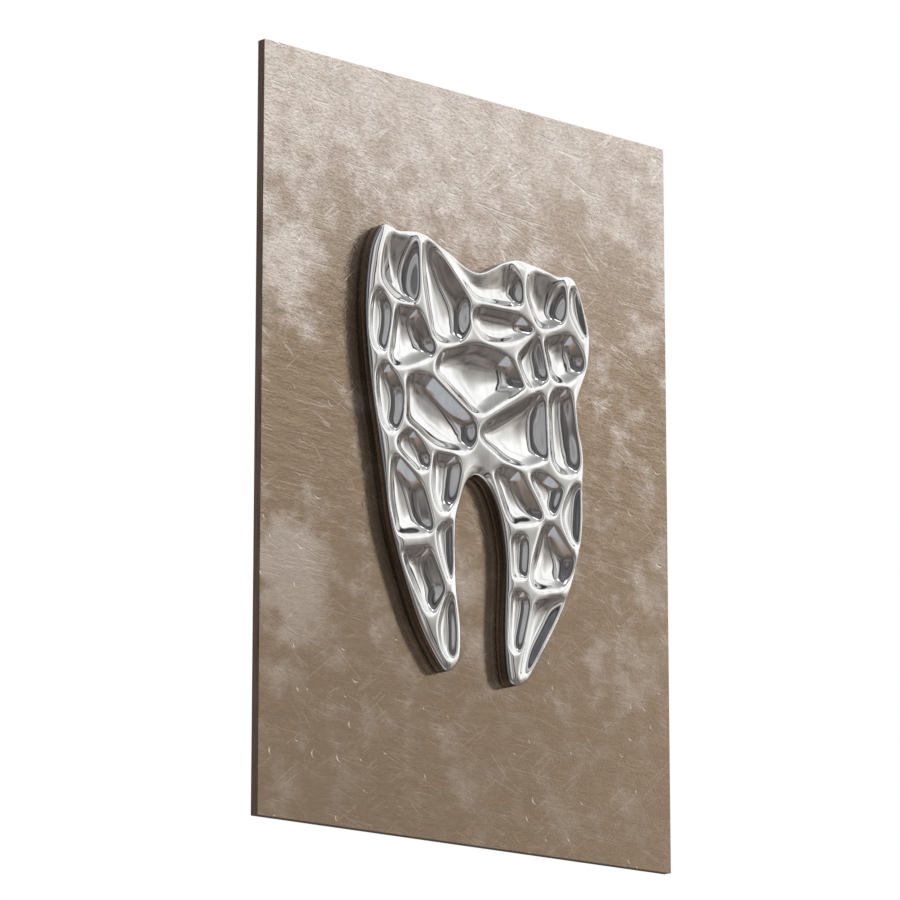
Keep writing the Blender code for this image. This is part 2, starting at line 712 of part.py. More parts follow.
def add_frame(wood_material, core):
    """Rear frame whose top rail is the hanging cleat, cut for its screws with the board."""
    outer_x = PANEL_WIDTH / 2 - FRAME_SETBACK
    inner_x = outer_x - BATTEN_WIDTH
    rail_length = 2 * (inner_x - GAP)
    cleat_section = (
        (FRAME_BACK, HOOK_HEIGHT),
        (FRAME_BACK, FRAME_TOP),
        (FRAME_FRONT, FRAME_TOP),
        (FRAME_FRONT, HOOK_HEIGHT + BATTEN_THICKNESS),
    )
    meshes = {
        "stile_left": box_mesh(
            "stile_left", (-outer_x, FRAME_BACK, -FRAME_TOP), (-inner_x, FRAME_FRONT, FRAME_TOP)
        ),
        "stile_right": box_mesh(
            "stile_right", (inner_x, FRAME_BACK, -FRAME_TOP), (outer_x, FRAME_FRONT, FRAME_TOP)
        ),
        "bottom_rail": box_mesh(
            "bottom_rail",
            (-rail_length / 2, FRAME_BACK, -FRAME_TOP),
            (rail_length / 2, FRAME_FRONT, -FRAME_TOP + BATTEN_WIDTH),
        ),
        "hanging_cleat": rail_mesh("hanging_cleat", cleat_section, rail_length),
    }
    profile = countersunk_profile(
        FRAME_SCREW_RADIUS, FRAME_SCREW_HEAD_RADIUS, FRAME_SCREW_SUNK,
        frame_screw_tip(), FRAME_SCREW_POINT, GAP,
    )
    hole = turned_mesh("frame_screw_hole", profile, SMALL_ROUND_STEPS)
    all_places = []
    for name, places in frame_screw_places().items():
        batten = add_part(name, meshes[name], wood_material)
        chamfer(batten, BATTEN_CHAMFER)
        cut(batten, name + "_holes", repeated_mesh(name, hole, places, FRAME_BACK))
        all_places += places
    cut(core, "pilot_holes", repeated_mesh("pilot_holes", hole, all_places, FRAME_BACK))
    return all_places


def add_frame_screws(steel, places):
    """Wood screws with a cross recess, heads just below the frame's back."""
    profile = countersunk_profile(
        FRAME_SCREW_RADIUS, FRAME_SCREW_HEAD_RADIUS, FRAME_SCREW_SUNK,
        frame_screw_tip(), FRAME_SCREW_POINT, 0,
    )
    screw = turned_mesh("frame_screw", profile, SMALL_ROUND_STEPS)
    arm = CROSS_WIDTH / 2
    reach = CROSS_LENGTH / 2
    root = CROSS_ROOT * arm
    quarter = [(reach, -arm), (reach, arm), (root, root)]
    cross = []
    for turn in range(4):
        for x, z in quarter:
            for quarter_turn in range(turn):
                x, z = -z, x
            cross.append((x, z))
    height = CROSS_DEPTH + FRAME_SCREW_SUNK + GAP
    recess = plate_mesh("cross_recess", [cross], height)
    recess.transform(Matrix.Translation((0, 0, height / 2 - GAP)))
    add_copies("frame_screw", cut_mesh("frame_screw", screw, recess), steel, places, FRAME_BACK)


def add_wall_cleat(wood_material):
    """Rail on the wall; its sloping top carries the hanging cleat."""
    bottom = WALL_CLEAT_TOP - WALL_CLEAT_REAR_HEIGHT
    section = (
        (0, bottom),
        (0, WALL_CLEAT_TOP),
        (WALL_CLEAT_THICKNESS, WALL_CLEAT_TOP + WALL_CLEAT_THICKNESS),
        (WALL_CLEAT_THICKNESS, bottom),
    )
    rail = add_part("wall_cleat", rail_mesh("wall_cleat", section, WALL_CLEAT_LENGTH), wood_material)
    chamfer(rail, BATTEN_CHAMFER)
    sink = WALL_SCREW_HEAD_RADIUS - WALL_SCREW_RADIUS
    profile = [
        (0, WALL_CLEAT_THICKNESS + GAP),
        (WALL_SCREW_HEAD_RADIUS + GAP, WALL_CLEAT_THICKNESS + GAP),
        (WALL_SCREW_RADIUS, WALL_CLEAT_THICKNESS - sink),
        (WALL_SCREW_RADIUS, -GAP),
        (0, -GAP),
    ]
    hole = turned_mesh("wall_screw_hole", profile, ROUND_STEPS)
    middle = bottom + WALL_CLEAT_REAR_HEIGHT / 2
    places = [(side * WALL_SCREW_SPACING / 2, middle) for side in (-1, 1)]
    cut(rail, "wall_screw_holes", repeated_mesh("wall_screw_holes", hole, places, 0))


def add_bumpers(rubber):
    """Round pads near the ends of the stiles."""
    x = PANEL_WIDTH / 2 - FRAME_SETBACK - BATTEN_WIDTH / 2
    z = FRAME_TOP - BUMPER_FROM_END
    places = [(side * x, end * z) for side in (-1, 1) for end in (-1, 1)]
    pad = cylinder_mesh("wall_bumper", BUMPER_RADIUS, 0, BUMPER_THICKNESS, ROUND_STEPS)
    add_copies("wall_bumper", pad, rubber, places, 0)


def build():
    """Make every sub-part."""
    polished = make_material("polished_metal", (0.86, 0.86, 0.85), 1.0, 0.06)
    dark_bronze = make_material("dark_bronze", (0.030, 0.024, 0.020), 0.6, 0.35)
    bronze_sheet = make_material("bronze_sheet", (0.40, 0.33, 0.27), 0.9, 0.35)
    fibreboard = make_material("fibreboard", (0.36, 0.26, 0.17), 0.0, 0.85)
    dark_edge = make_material("dark_edge", (0.060, 0.042, 0.033), 0.1, 0.5)
    pine = make_material("pine", (0.60, 0.44, 0.27), 0.0, 0.7)
    zinc_steel = make_material("zinc_steel", (0.62, 0.62, 0.60), 1.0, 0.35)
    brass = make_material("brass", (0.72, 0.52, 0.22), 1.0, 0.3)
    black_rubber = make_material("black_rubber", (0.02, 0.02, 0.02), 0.0, 0.8)
    add_tooth(polished, dark_bronze)
    add_relief_fixings(zinc_steel, brass)
    core = add_panel(bronze_sheet, fibreboard, dark_edge)
    places = add_frame(pine, core)
    add_frame_screws(zinc_steel, places)
    add_wall_cleat(pine)
    add_bumpers(black_rubber)


clear_scene()
PARTS = new_collection("tooth_sculpture")
CUTTERS = new_collection("cutters")
CENTRE = bpy.data.objects.new("panel_centre", None)
CENTRE.location = (0, 0, -PANEL_DROP)
PARTS.objects.link(CENTRE)
build()
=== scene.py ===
import math
from collections import namedtuple

import bmesh
import bpy
import numpy as np
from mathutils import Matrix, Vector
from mathutils.geometry import delaunay_2d_cdt
from mathutils.kdtree import KDTree


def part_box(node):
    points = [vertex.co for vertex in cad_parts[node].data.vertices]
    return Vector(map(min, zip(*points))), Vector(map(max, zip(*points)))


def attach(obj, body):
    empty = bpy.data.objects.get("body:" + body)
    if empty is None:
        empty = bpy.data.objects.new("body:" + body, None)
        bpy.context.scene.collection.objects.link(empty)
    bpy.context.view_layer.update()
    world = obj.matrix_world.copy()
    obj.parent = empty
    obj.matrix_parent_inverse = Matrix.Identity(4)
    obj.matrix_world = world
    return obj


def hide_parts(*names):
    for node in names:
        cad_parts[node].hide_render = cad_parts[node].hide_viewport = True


MM = 0.001

# Outline of the tooth in millimetres, clockwise: x right and z up from the panel's centre, in turn
TOOTH_OUTLINE = (
    -122, 199, -111, 200, -101, 197.5, -90, 199.5, -78, 201, -66, 199,
    -52, 193, -36, 186.5, -22, 179.5, -9, 176, 2, 178, 14, 184,
    26, 191.5, 40, 197, 52, 198, 68, 196, 84, 193.5, 96, 191.5,
    107.5, 194, 116, 192, 122.5, 183, 130, 163, 135, 145, 136, 129,
    133, 110, 125, 90, 119, 73, 121, 50, 126, 31, 127, 12,
    125.5, -10, 125.5, -38, 121, -68, 108, -107, 87, -148, 60, -189,
    51, -198.5, 40, -202, 32, -195, 28.5, -170, 28, -145, 29.5, -110,
    29.5, -85, 25, -57, 17, -34, 6, -19, -8, -14, -19, -22,
    -27, -40, -33, -62, -33.5, -95, -31, -130, -27, -158, -28, -184,
    -35, -196, -45, -199, -58, -186, -76, -160, -90, -130, -103, -97,
    -112, -68, -118, -32, -125, 5, -133, 46, -138, 80, -141, 118,
    -139, 152, -134, 178,
)
OUTLINE_STEPS = 12

# Rims of the dished cells, each a convex polygon given in the same way
CELL_RIMS = (
    (-120, 195.5, -128, 157, -126, 146, -107, 131, -84, 131, -79, 140, -79, 195.5),
    (-75, 196, -75, 158, -62, 105, -46, 100, -28, 105, -16, 124, -16, 147, -58, 195),
    (-29, 166, 24, 183, 41, 189, 50, 176, 49, 155, 41, 150, -10, 149),
    (-15, 139, -6, 145, 46, 146, 65, 134, 52, 123, 26, 113, 4, 112, -11, 122),
    (56, 194, 52, 168, 68, 137, 81, 136, 101, 147, 106, 163, 104, 182, 95, 189.5),
    (109, 184, 108, 158, 128, 133, 132, 136, 128.5, 158, 119, 187),
    (-134, 137, -124, 140, -112, 124, -112, 104, -121, 80, -132, 80, -138, 94, -138, 124),
    (-107, 127, -80, 129, -59, 98, -60, 88, -96, 70, -109, 69, -115, 77),
    (-59, 84, -50, 95.5, -8, 109, 16, 108, 36, 101.5, 52, 78, 0, 42, -13, 42, -59, 72),
    (68, 133, 41, 104.5, 53, 80, 62, 76, 81, 90, 80, 102),
    (75, 128, 104, 139, 113, 137, 129, 116, 128, 105, 104, 88, 91, 88, 84, 93),
    (-131, 64, -125, 72, -113, 71, -97, 50, -96, 33, -106, 9, -116, 7, -123, 13, -131, 44),
    (-94, 64, -84, 69, -64, 69, -10, 36, -8, 20, -18, 5, -32, 2, -58, 3.5, -94, 22.5),
    (-6, 28, 2, 37, 70, 77, 78, 70, 80, 14, 52, 1, 30, 2, -4, 20),
    (81, 72, 89, 84, 104, 87, 112, 80, 122.5, 32, 123, 12, 114, 3, 95, 2, 84, 14),
    (-95, 15.5, -83, 15, -65, -6.5, -65, -17, -77, -24, -104, -7, -107, 2),
    (-112, -12, -102, -12, -75, -32, -61, -72, -66, -78, -103, -85, -114, -50),
    (-61, -2, -34, 0, -27, -8, -33, -44, -49, -58, -57, -54, -64, -36),
    (-59, -72, -48, -62, -37, -60, -36, -112, -42, -122, -58, -86),
    (-99, -97, -66, -89, -47, -127, -62, -151, -69, -152, -96, -110),
    (-45, -128, -36, -130, -31, -162, -33, -186, -42, -192, -52, -183, -57, -160),
    (12, -8, 24, 0, 46, -3, 74, -40, 70, -47, 38, -55, 30, -50),
    (56, -3, 66, 2, 78, 1, 100, -11, 89, -38, 80, -42),
    (122, -1, 112, -3, 97, -30, 97, -42, 110, -64, 118, -64, 122.5, -30),
    (33, -64, 40, -60, 52, -60, 56, -66, 53, -102, 46, -105, 36, -105),
    (74, -47, 88, -46, 114, -73, 109, -95, 96, -106, 68, -111, 58, -106, 57.5, -92),
    (34, -116, 43, -112, 55, -117, 58, -126, 46, -170, 38, -175, 31, -170),
    (62, -121, 72, -116, 102, -111, 49.5, -194, 43, -197),
)

# Walls that run down more gently: cell, edge, and the share of a plain wall's slope
GENTLE_WALLS = (
    (0, 6, 0.25), (1, 6, 0.75), (1, 7, 0.6), (2, 0, 0.25), (2, 1, 0.4), (4, 6, 0.5), (4, 7, 0.25),
    (27, 0, 0.8), (27, 1, 0.8),
)

# Walls that stand nearer to the outline: cell, edge, and how much farther out
WIDER_WALLS = (
    (5, 3, 2.0), (5, 4, 2.5), (23, 5, 2.0), (23, 6, 2.0), (25, 2, 1.5), (27, 2, 3.0),
)

# Troughs that run out at the outline: cell, edges left away, run to full depth, share of the depth
OPEN_CELLS = ((0, (6,), 50, 1.0), (2, (0, 1), 40, 0.9), (4, (6, 7), 46, 1.0))
OPEN_WALL_SHARE = 0.55
OPEN_DISH = 7 * MM
OPEN_DISH_RUN = 23 * MM

# Relief's own sizes
SKIRT_WALL = 3 * MM
HOLE_POINTS = ((-77, 133), (106, 144), (-8, 38), (-62, -82), (60, -113))
HOLE_RADIUS = 3.8 * MM
HOLE_DEPTH = 9.1 * MM
HOLE_SIDES = 24
SKIRT_FRONT_ROUND = 0.6 * MM
SKIRT_BACK_ROUND = 2.4 * MM
PIECE_GAP = 0.3 * MM
RIM_ROUND_HEIGHT = 2.7 * MM
CELL_FLOOR = 3.7 * MM
CELL_CORNER_ROUND = 2.3 * MM
FIELD_STEP = 1 * MM
FIELD_SOFTNESS = 1 * MM
FIELD_MARGIN = 15 * MM
FLOOR_CORNER_ROUND = 7 * MM

# Slope of a cell's wall against the distance inside its rim, which the ribs share as a rounding
WALL_SLOPES = (
    (-5, 0.0), (-3.4, 0.09), (-2.0, 0.26), (-0.7, 0.7), (0.5, 1.1), (1.6, 1.2), (4.0, 1.14),
    (6.8, 0.98), (8.6, 0.78), (10.6, 0.47), (12.6, 0.21), (15, 0.07), (17.5, 0.0),
)
FULL_SIZE_REACH = 16 * MM
NARROWEST_SHARE = 0.6
FLOOR_DISH = 3.4 * MM
FLOOR_DISH_START = 6 * MM
FLOOR_DISH_RUN = 27 * MM

# Shallow hollows in the crest: x, z, radius and depth
CREST_HOLLOWS = (
    (0, -14, 15, 1.6), (-30, 128, 12, 0.8), (68, -10, 9, 0.8), (96, -100, 8, 0.8),
)

# Slope of the outer edge against the distance from the outline
EDGE_SLOPES = ((0.0, 1.3), (0.8, 0.75), (2.0, 0.38), (4.5, 0.26), (7.5, 0.14), (10.5, 0.0))

# Mesh of the relief: spacing along the rims, and rows at distances inside them in millimetres
RIM_SPACING = 1.7 * MM
RIB_LEVELS = (-0.8, -1.6, -2.4, -3.3, -4.3)
CELL_LEVELS = (
    0.0, 0.6, 1.2, 1.9, 2.7, 3.6, 4.6, 5.7, 6.9, 8.1, 9.3, 10.5, 11.7, 12.9, 14.2, 15.8,
    17.8, 20.4, 23.5,
)
EDGE_LEVELS = (0.15, 0.4, 0.75, 1.2, 1.8, 2.6, 3.5, 4.6, 5.8, 7.2, 8.8)
ROW_CLEARANCE = 0.35 * MM
CREST_SPACING = 2.5 * MM

# Mesh making: samples, shares and steps
PROFILE_SAMPLES = 400
KERNEL_REACH = 3
RIM_ANGLES = 721
FEWEST_RIM_POINTS = 36
INNER_RING_SHARE = 0.94
OUTLINE_ROW_SHARE = 0.97
CENTRE_FIRST_STEP = 15 * MM
CENTRE_LAST_STEP = 0.05 * MM
FARTHEST_RIM = 200 * MM
HALVINGS = 34
SKIRT_ROUND_STEPS = 5
SHARP_DEGREES = 50

# What the triangulation returns, and how near two points may be before they are one
TRIANGLES_INSIDE = 1
SAME_PLACE = 1e-7

# Camera, placed from the panel's centre on its front face
CAMERA_OFFSET = (-2.908, -3.17, -1.028)
CAMERA_YAW = 42.27
CAMERA_PITCH = 13.6
CAMERA_LENS = 194.5
CAMERA_SENSOR = 36
CAMERA_REACH = 100

# Floor: half its width, and how far it lies below the panel's centre
FLOOR_HALF = 30
FLOOR_BELOW = 2.2

# Looks: share of metal, two colours, roughness from and to, height of the bump, colour of marks
Look = namedtuple("Look", "metallic first second roughness bump marks", defaults=(None, None))
POLISHED = Look(1.0, (0.745, 0.743, 0.735), (0.8, 0.8, 0.795), (0.035, 0.075), 0.8 * MM)
# The bronze's second colour is the lighter stripe of a painted reflection along the skirt
BRONZE = Look(1.0, (0.11, 0.096, 0.087), (0.42, 0.375, 0.34), (0.2, 0.36), 0.2 * MM)
SHEET = Look(
    0.82, (0.368, 0.274, 0.193), (0.405, 0.302, 0.213), (0.055, 0.085), 0.32 * MM, (0.97, 0.93, 0.88),
)
EDGE = Look(
    0.25, (0.085, 0.05, 0.034), (0.145, 0.095, 0.068), (0.38, 0.6), 0.1 * MM, (0.15, 0.118, 0.095),
)
BOARD = Look(
    0.0, (0.27, 0.185, 0.115), (0.41, 0.3, 0.2), (0.78, 0.95), 0.3 * MM, (0.12, 0.075, 0.045),
)
PINE = Look(
    0.0, (0.66, 0.47, 0.27), (0.45, 0.26, 0.12), (0.62, 0.48), 0.25 * MM, (0.2, 0.095, 0.04),
)
ZINC = Look(
    1.0, (0.55, 0.56, 0.56), (0.7, 0.7, 0.68), (0.26, 0.45), 0.04 * MM, (0.42, 0.4, 0.36),
)
BRASS = Look(1.0, (0.74, 0.55, 0.25), (0.42, 0.27, 0.12), (0.22, 0.45), 0.03 * MM)
RUBBER = Look(0.0, (0.018, 0.018, 0.019), (0.09, 0.085, 0.08), (0.7, 0.92), 0.08 * MM)
FLOOR = Look(0.0, (0.78, 0.78, 0.775), (0.83, 0.83, 0.825), (0.8, 0.95))
SHEET_PALE = (0.81, 0.728, 0.676)

# Most values of a noise lie between these
NOISE_LOW = 0.3
NOISE_HIGH = 0.7

# The mix node's colour sockets
MIX_BELOW = 6
MIX_ABOVE = 7
MIX_RESULT = 2

# Waves of the pine's growth lines, fibres and knots along it, as a share of those across it
PINE_STRETCH = (0.022, 0.03, 0.5)

# Changes of the sheet with height: from, to, and the values there
CLOUDS_BELOW = (-0.36, -0.16, -0.035, -0.02)
CLOUDS_ABOVE = (-0.16, 0.09, 0.0, 0.18)
LEAST_PALE = (-0.12, 0.09, 0, 0.5)
MOST_PALE = (-0.5, -0.05, 0.28, 0.94)
BROWN_SHADE = (-0.58, -0.2, 1.07, 1.02)
# Painted shade in the sheet's creases, darker towards the top
PAINTED_CREASE_SHADE = (-0.34, 0.0, 0.97, 0.76)
SCRATCH_SHARE = (-0.34, 0.0, 0.25, 1)
LEATHER_SHARE = (-0.3, 0.0, 0.12, 1)

# Change of the sheet's brown from left to right, and heights of its grain and marks
BROWN_SIDES = (-0.12, 0.22)
SHEET_GRAIN_BUMP = 0.09 * MM
SHEET_MARK_DEPTH = 0.25 * MM

# Scratches: turn in degrees, waves along each axis, width, and the gate's level that keeps them
HAIRLINES = (
    (-22, (2.5, 2.5, 52), 0.008, 0.52), (-48, (3, 3, 36), 0.007, 0.56),
    (38, (2.5, 2.5, 38), 0.007, 0.55), (-5, (2, 2, 56), 0.009, 0.52),
)
GATE_WAVES = 31
GATE_EDGE = 0.05

# Nicks: spacing, length, width, and the share of places that have one; turned in radians
NICKS = ((26 * MM, 3.4 * MM, 1.0 * MM, 0.2), (47 * MM, 5.2 * MM, 1.3 * MM, 0.28))
NICK_TURNS = (0.2, 1.7)
NICK_BOW = 110
NICK_SHORTEST = 0.4
NICK_TAPER_START = 0.2

# Clouds in the sheet's finish: x and height from the panel's top left, radius, paleness, in mm
SHEET_CLOUDS = (
    (30, 200, 42, 0.22), (52, 262, 28, 0.16), (30, 480, 46, 0.4), (52, 522, 26, 0.2),
    (135, 520, 16, 0.18), (450, 270, 30, 0.08), (482, 430, 38, 0.16), (462, 520, 30, 0.22),
    (408, 505, 18, 0.18), (245, 645, 22, 0.2), (220, 610, 18, 0.16), (125, 602, 18, 0.14),
    (366, 676, 22, 0.16), (62, 400, 24, 0.1), (460, 190, 24, 0.12), (28, 580, 22, 0.16),
    (30, 668, 20, 0.14), (252, 524, 22, 0.16), (328, 622, 16, 0.1), (452, 640, 20, 0.1),
    (370, 98, 34, -0.22), (425, 150, 44, -0.3), (90, 104, 26, -0.12), (60, 300, 40, -0.2),
    (34, 350, 34, -0.18), (66, 372, 30, -0.14), (440, 45, 28, -0.14), (150, 66, 24, -0.08),
    (482, 82, 20, -0.1), (112, 160, 40, -0.14), (245, 470, 24, 0.22), (300, 125, 26, -0.08),
    (470, 232, 26, -0.1), (92, 225, 34, -0.14), (50, 350, 50, -0.1), (430, 545, 20, 0.16),
    (365, 565, 20, 0.14), (100, 650, 18, 0.14), (170, 575, 14, 0.12), (285, 560, 16, 0.12),
    (345, 650, 16, 0.12),
)
SHEET_TOP_LEFT = (-0.25, 0.1197)
CLOUD_WAVES = 34
CLOUD_BEND = 50 * MM
CLOUD_FADE = MM / 0.62
CLOUD_EDGES = (0.42, 0.78)

# Light that a diffuse ray and the camera find in the world
DIFFUSE_LIGHT = (0.8, 0.8, 0.8)
WHITE = (1.0, 1.0, 1.0)

# Studio that metal mirrors, as colours by elevation in degrees, brought to one level
STUDIO_LEVEL = 1.25
COOL = (0.42, 0.45, 0.49)
TAN = (0.27, 0.185, 0.135)
UMBER = (0.125, 0.113, 0.103)
DUSK = (0.14, 0.125, 0.115)
GREY = (0.24, 0.24, 0.24)
SLATE = (0.14, 0.13, 0.13)
EARTH = (0.17, 0.155, 0.145)

# Where no sector lies
STUDIO_BASE = (
    (-90, COOL), (-50, COOL), (-40, TAN), (-28, UMBER), (-10, UMBER), (2, (0.05, 0.044, 0.04)),
    (40, (0.07, 0.068, 0.066)), (62, (0.16, 0.16, 0.16)), (90, GREY),
)

# Stops that several sectors share
DIM_FLOOR = ((-90, COOL), (-42, COOL), (-38, TAN), (-33, DUSK), (-20, UMBER))
LIT_FLOOR = (
    (-90, SLATE), (-55, (0.22, 0.21, 0.21)), (-40, (0.12, 0.1, 0.09)), (-26, DUSK),
)
LIT_TOP = ((58, (0.6, 0.6, 0.59)), (72, GREY))

# The wall side, where metal mirrors the white background: STUDIO_LEVEL makes this 1
BEHIND = ((-90, (0.8, 0.8, 0.8)), (90, (0.8, 0.8, 0.8)))

# Azimuths from the panel's front towards +X: low, high, soft edge, and stops by elevation
STUDIO_SECTORS = (
    (-60, -40, 4, (
        *DIM_FLOOR, (-8, (0.12, 0.11, 0.105)), (20, (0.12, 0.12, 0.125)), (60, (0.13, 0.13, 0.14)),
        (90, GREY),
    )),
    (-40, -24, 3, (
        *DIM_FLOOR, (-8, (0.2, 0.19, 0.19)), (12, (0.33, 0.33, 0.34)), (52, (0.34, 0.34, 0.35)),
        (90, GREY),
    )),
    (-24, 5, 4, (
        (-90, COOL), (-40, COOL), (-36, TAN), (-31, DUSK), (-18, UMBER),
        (-6, (0.09, 0.082, 0.078)), (14, (0.05, 0.05, 0.053)), (56, (0.06, 0.06, 0.064)), (90, GREY),
    )),
    (5, 24, 3, (
        (-90, COOL), (-38, COOL), (-34, TAN), (-29, (0.13, 0.115, 0.105)), (-18, UMBER),
        (-8, (0.16, 0.145, 0.135)), (10, (0.44, 0.43, 0.43)), (52, (0.48, 0.48, 0.49)), (90, GREY),
    )),
    (27, 50, 2, (
        *LIT_FLOOR, (-15, EARTH), (-6, (0.2, 0.185, 0.175)),
        (2, (0.26, 0.245, 0.23)), (8, (0.35, 0.335, 0.315)), (13, (0.54, 0.525, 0.495)),
        (18, (0.84, 0.83, 0.8)), (25, (1.4, 1.4, 1.38)), (48, (1.5, 1.5, 1.48)), *LIT_TOP,
    )),
    (39.5, 45.5, 2.5, (
        *LIT_FLOOR, (-15, EARTH), (-6, (0.19, 0.176, 0.167)),
        (2, (0.24, 0.226, 0.212)), (8, (0.31, 0.297, 0.28)), (13, (0.45, 0.437, 0.412)),
        (18, (0.66, 0.652, 0.628)), (25, (1.0, 1.0, 0.985)), (48, (1.2, 1.2, 1.18)), *LIT_TOP,
    )),
    (49, 84, 6, (
        (-90, SLATE), (-55, (0.2, 0.19, 0.19)), (-40, (0.12, 0.1, 0.09)), (-26, DUSK),
        (-14, EARTH), (-6, (0.22, 0.2, 0.185)), (2, (0.42, 0.39, 0.35)),
        (8, (0.9, 0.88, 0.84)), (14, (1.35, 1.34, 1.32)), (20, (1.6, 1.6, 1.58)),
        (48, (1.6, 1.6, 1.58)), *LIT_TOP,
    )),
    (86, 140, 2, (
        (-90, SLATE), (-30, UMBER), (-12, UMBER), (2, (0.045, 0.04, 0.035)),
        (40, (0.045, 0.045, 0.047)), (62, (0.13, 0.13, 0.13)), (90, GREY),
    )),
    (156, 190, 6, BEHIND),
    (-190, -156, 6, BEHIND),
)

# Smaller flags and lamps: azimuth low, high, edge, elevation low, high, edge, colour
STUDIO_PATCHES = (
    (23.5, 27, 1, -12, 52, 3, (0.035, 0.033, 0.033)),
    (96, 100, 1.5, -5, 60, 4, (0.45, 0.45, 0.46)),
    (-14, -6, 1, 60, 67, 1, (2.5, 2.5, 2.7)),
    (6, 14, 1, 54, 61, 1, (2.5, 2.5, 2.7)),
)

# Streaks in the studio: waves per degree across and up, place in depth, least and most change
WALL_STREAKS = (0.13, 0.012, 0.0, -0.8, 1.2)
GROUND_STREAKS = (0.09, 0.07, 5.0, -0.5, 0.6)
LEFT_STREAK_SHARE = 0.15

# Where the streaks are, in degrees: low, high and soft edge
LEFT_BAND = (-90, -28, 3)
FRONT_BAND = (-28, 23, 3)
WALL_BAND = (-14, 62, 4)
GROUND_BAND = (-38, 4, 4)


class Net:
    """Node tree with short calls for the nodes that the materials use."""

    def __init__(self, tree):
        self.tree = tree

    def feed(self, socket, value):
        """Give a socket a link, a number or a colour."""
        if isinstance(value, bpy.types.NodeSocket):
            self.tree.links.new(value, socket)
        elif isinstance(value, tuple) and len(value) == 3 and len(socket.default_value) == 4:
            socket.default_value = (*value, 1)
        else:
            socket.default_value = value

    def add(self, kind, inputs, **settings):
        """Add a node, feed its inputs by name or number, and return its outputs."""
        node = self.tree.nodes.new("ShaderNode" + kind)
        for name, value in settings.items():
            setattr(node, name, value)
        for socket, value in inputs.items():
            self.feed(node.inputs[socket], value)
        return node.outputs

    def math(self, operation, *values):
        return self.add("Math", dict(enumerate(values)), operation=operation)[0]

    def plus(self, first, second):
        return self.math("ADD", first, second)

    def times(self, first, second):
        return self.math("MULTIPLY", first, second)

    def highest(self, first, *others):
        for other in others:
            first = self.math("MAXIMUM", first, other)
        return first

    def vector(self, operation, first, second):
        outputs = self.add("VectorMath", {0: first, 1: second}, operation=operation)
        return outputs["Value" if operation == "DISTANCE" else "Vector"]

    def scaled(self, color, factor):
        return self.add("VectorMath", {0: color, "Scale": factor}, operation="SCALE")["Vector"]

    def split(self, vector):
        return self.add("SeparateXYZ", {0: vector})

    def joined(self, x, y, z):
        return self.add("CombineXYZ", {0: x, 1: y, 2: z})[0]

    def mix(self, factor, below, above):
        colors = {"Factor": factor, MIX_BELOW: below, MIX_ABOVE: above}
        return self.add("Mix", colors, data_type="RGBA")[MIX_RESULT]

    def spread(self, value, low, high, start=0.0, end=1.0, smooth=False):
        """Value between low and high brought to start and end, held outside them."""
        inputs = {"Value": value, "From Min": low, "From Max": high, "To Min": start, "To Max": end}
        curve = "SMOOTHSTEP" if smooth else "LINEAR"
        return self.add("MapRange", inputs, interpolation_type=curve)[0]

    def vary(self, noise, start=0.0, end=1.0):
        """Noise brought to the range from start to end."""
        return self.spread(noise, NOISE_LOW, NOISE_HIGH, start, end)

    def band(self, value, low, high, edge):
        """One between two values and zero outside them, with soft edges."""
        rise = self.spread(value, low - edge, low + edge, 0, 1, True)
        fall = self.spread(value, high - edge, high + edge, 1, 0, True)
        return self.times(rise, fall)

    def place(self, scale=(1, 1, 1), turn=0):
        """Object coordinates in metres, turned about Y in degrees and then scaled."""
        place = self.add("TexCoord", {})["Object"]
        place = self.add("Mapping", {"Vector": place, "Rotation": (0, math.radians(turn), 0)})[0]
        return self.add("Mapping", {"Vector": place, "Scale": scale})[0]

    def noise(self, place, scale, detail, rough=0.5, bend=0.0):
        inputs = {"Vector": place, "Scale": scale, "Detail": detail, "Roughness": rough}
        return self.add("TexNoise", {**inputs, "Distortion": bend})["Fac"]

    def grain(self, waves, detail, rough=0.5):
        """Noise with as many waves per metre along each axis."""
        return self.noise(self.place(), waves, detail, rough)

    def streaks(self, waves, detail, turn=0, rough=0.5):
        """Noise with its own number of waves per metre along each axis."""
        return self.noise(self.place(waves, turn), 1.0, detail, rough)

    def cells(self, place, scale):
        return self.add("TexVoronoi", {"Vector": place, "Scale": scale})


class Surface(Net):
    """Node material with its shader and the look that it starts from."""

    def __init__(self, name, look):
        self.look = look
        self.material = bpy.data.materials.new(name)
        self.material.use_nodes = True
        super().__init__(self.material.node_tree)
        self.inputs = self.tree.nodes["Principled BSDF"].inputs
        self.inputs["Metallic"].default_value = look.metallic

    def base(self, factor):
        """The look's two colours, mixed."""
        return self.mix(factor, self.look.first, self.look.second)

    def marked(self, tone, factor):
        """A tone with the look's marks where the factor is high."""
        return self.mix(factor, tone, self.look.marks)

    def worn(self, noise):
        """The look's roughness, changing with a noise."""
        return self.vary(noise, *self.look.roughness)

    def bump(self, height, below=None, distance=None):
        """Normal of a height, on top of another normal if one is given."""
        inputs = {"Height": height, "Distance": distance or self.look.bump, "Strength": 1.0}
        if below is not None:
            inputs["Normal"] = below
        return self.add("Bump", inputs)[0]

    def finished(self, tone, roughness, normal=None):
        """The material, with colour, roughness and bump in its shader."""
        self.feed(self.inputs["Base Color"], tone)
        self.feed(self.inputs["Roughness"], roughness)
        if normal is not None:
            self.feed(self.inputs["Normal"], normal)
        return self.material


def dress(names, material):
    """Give CAD nodes a material."""
    for name in names:
        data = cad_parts[name].data
        data.materials.clear()
        data.materials.append(material)


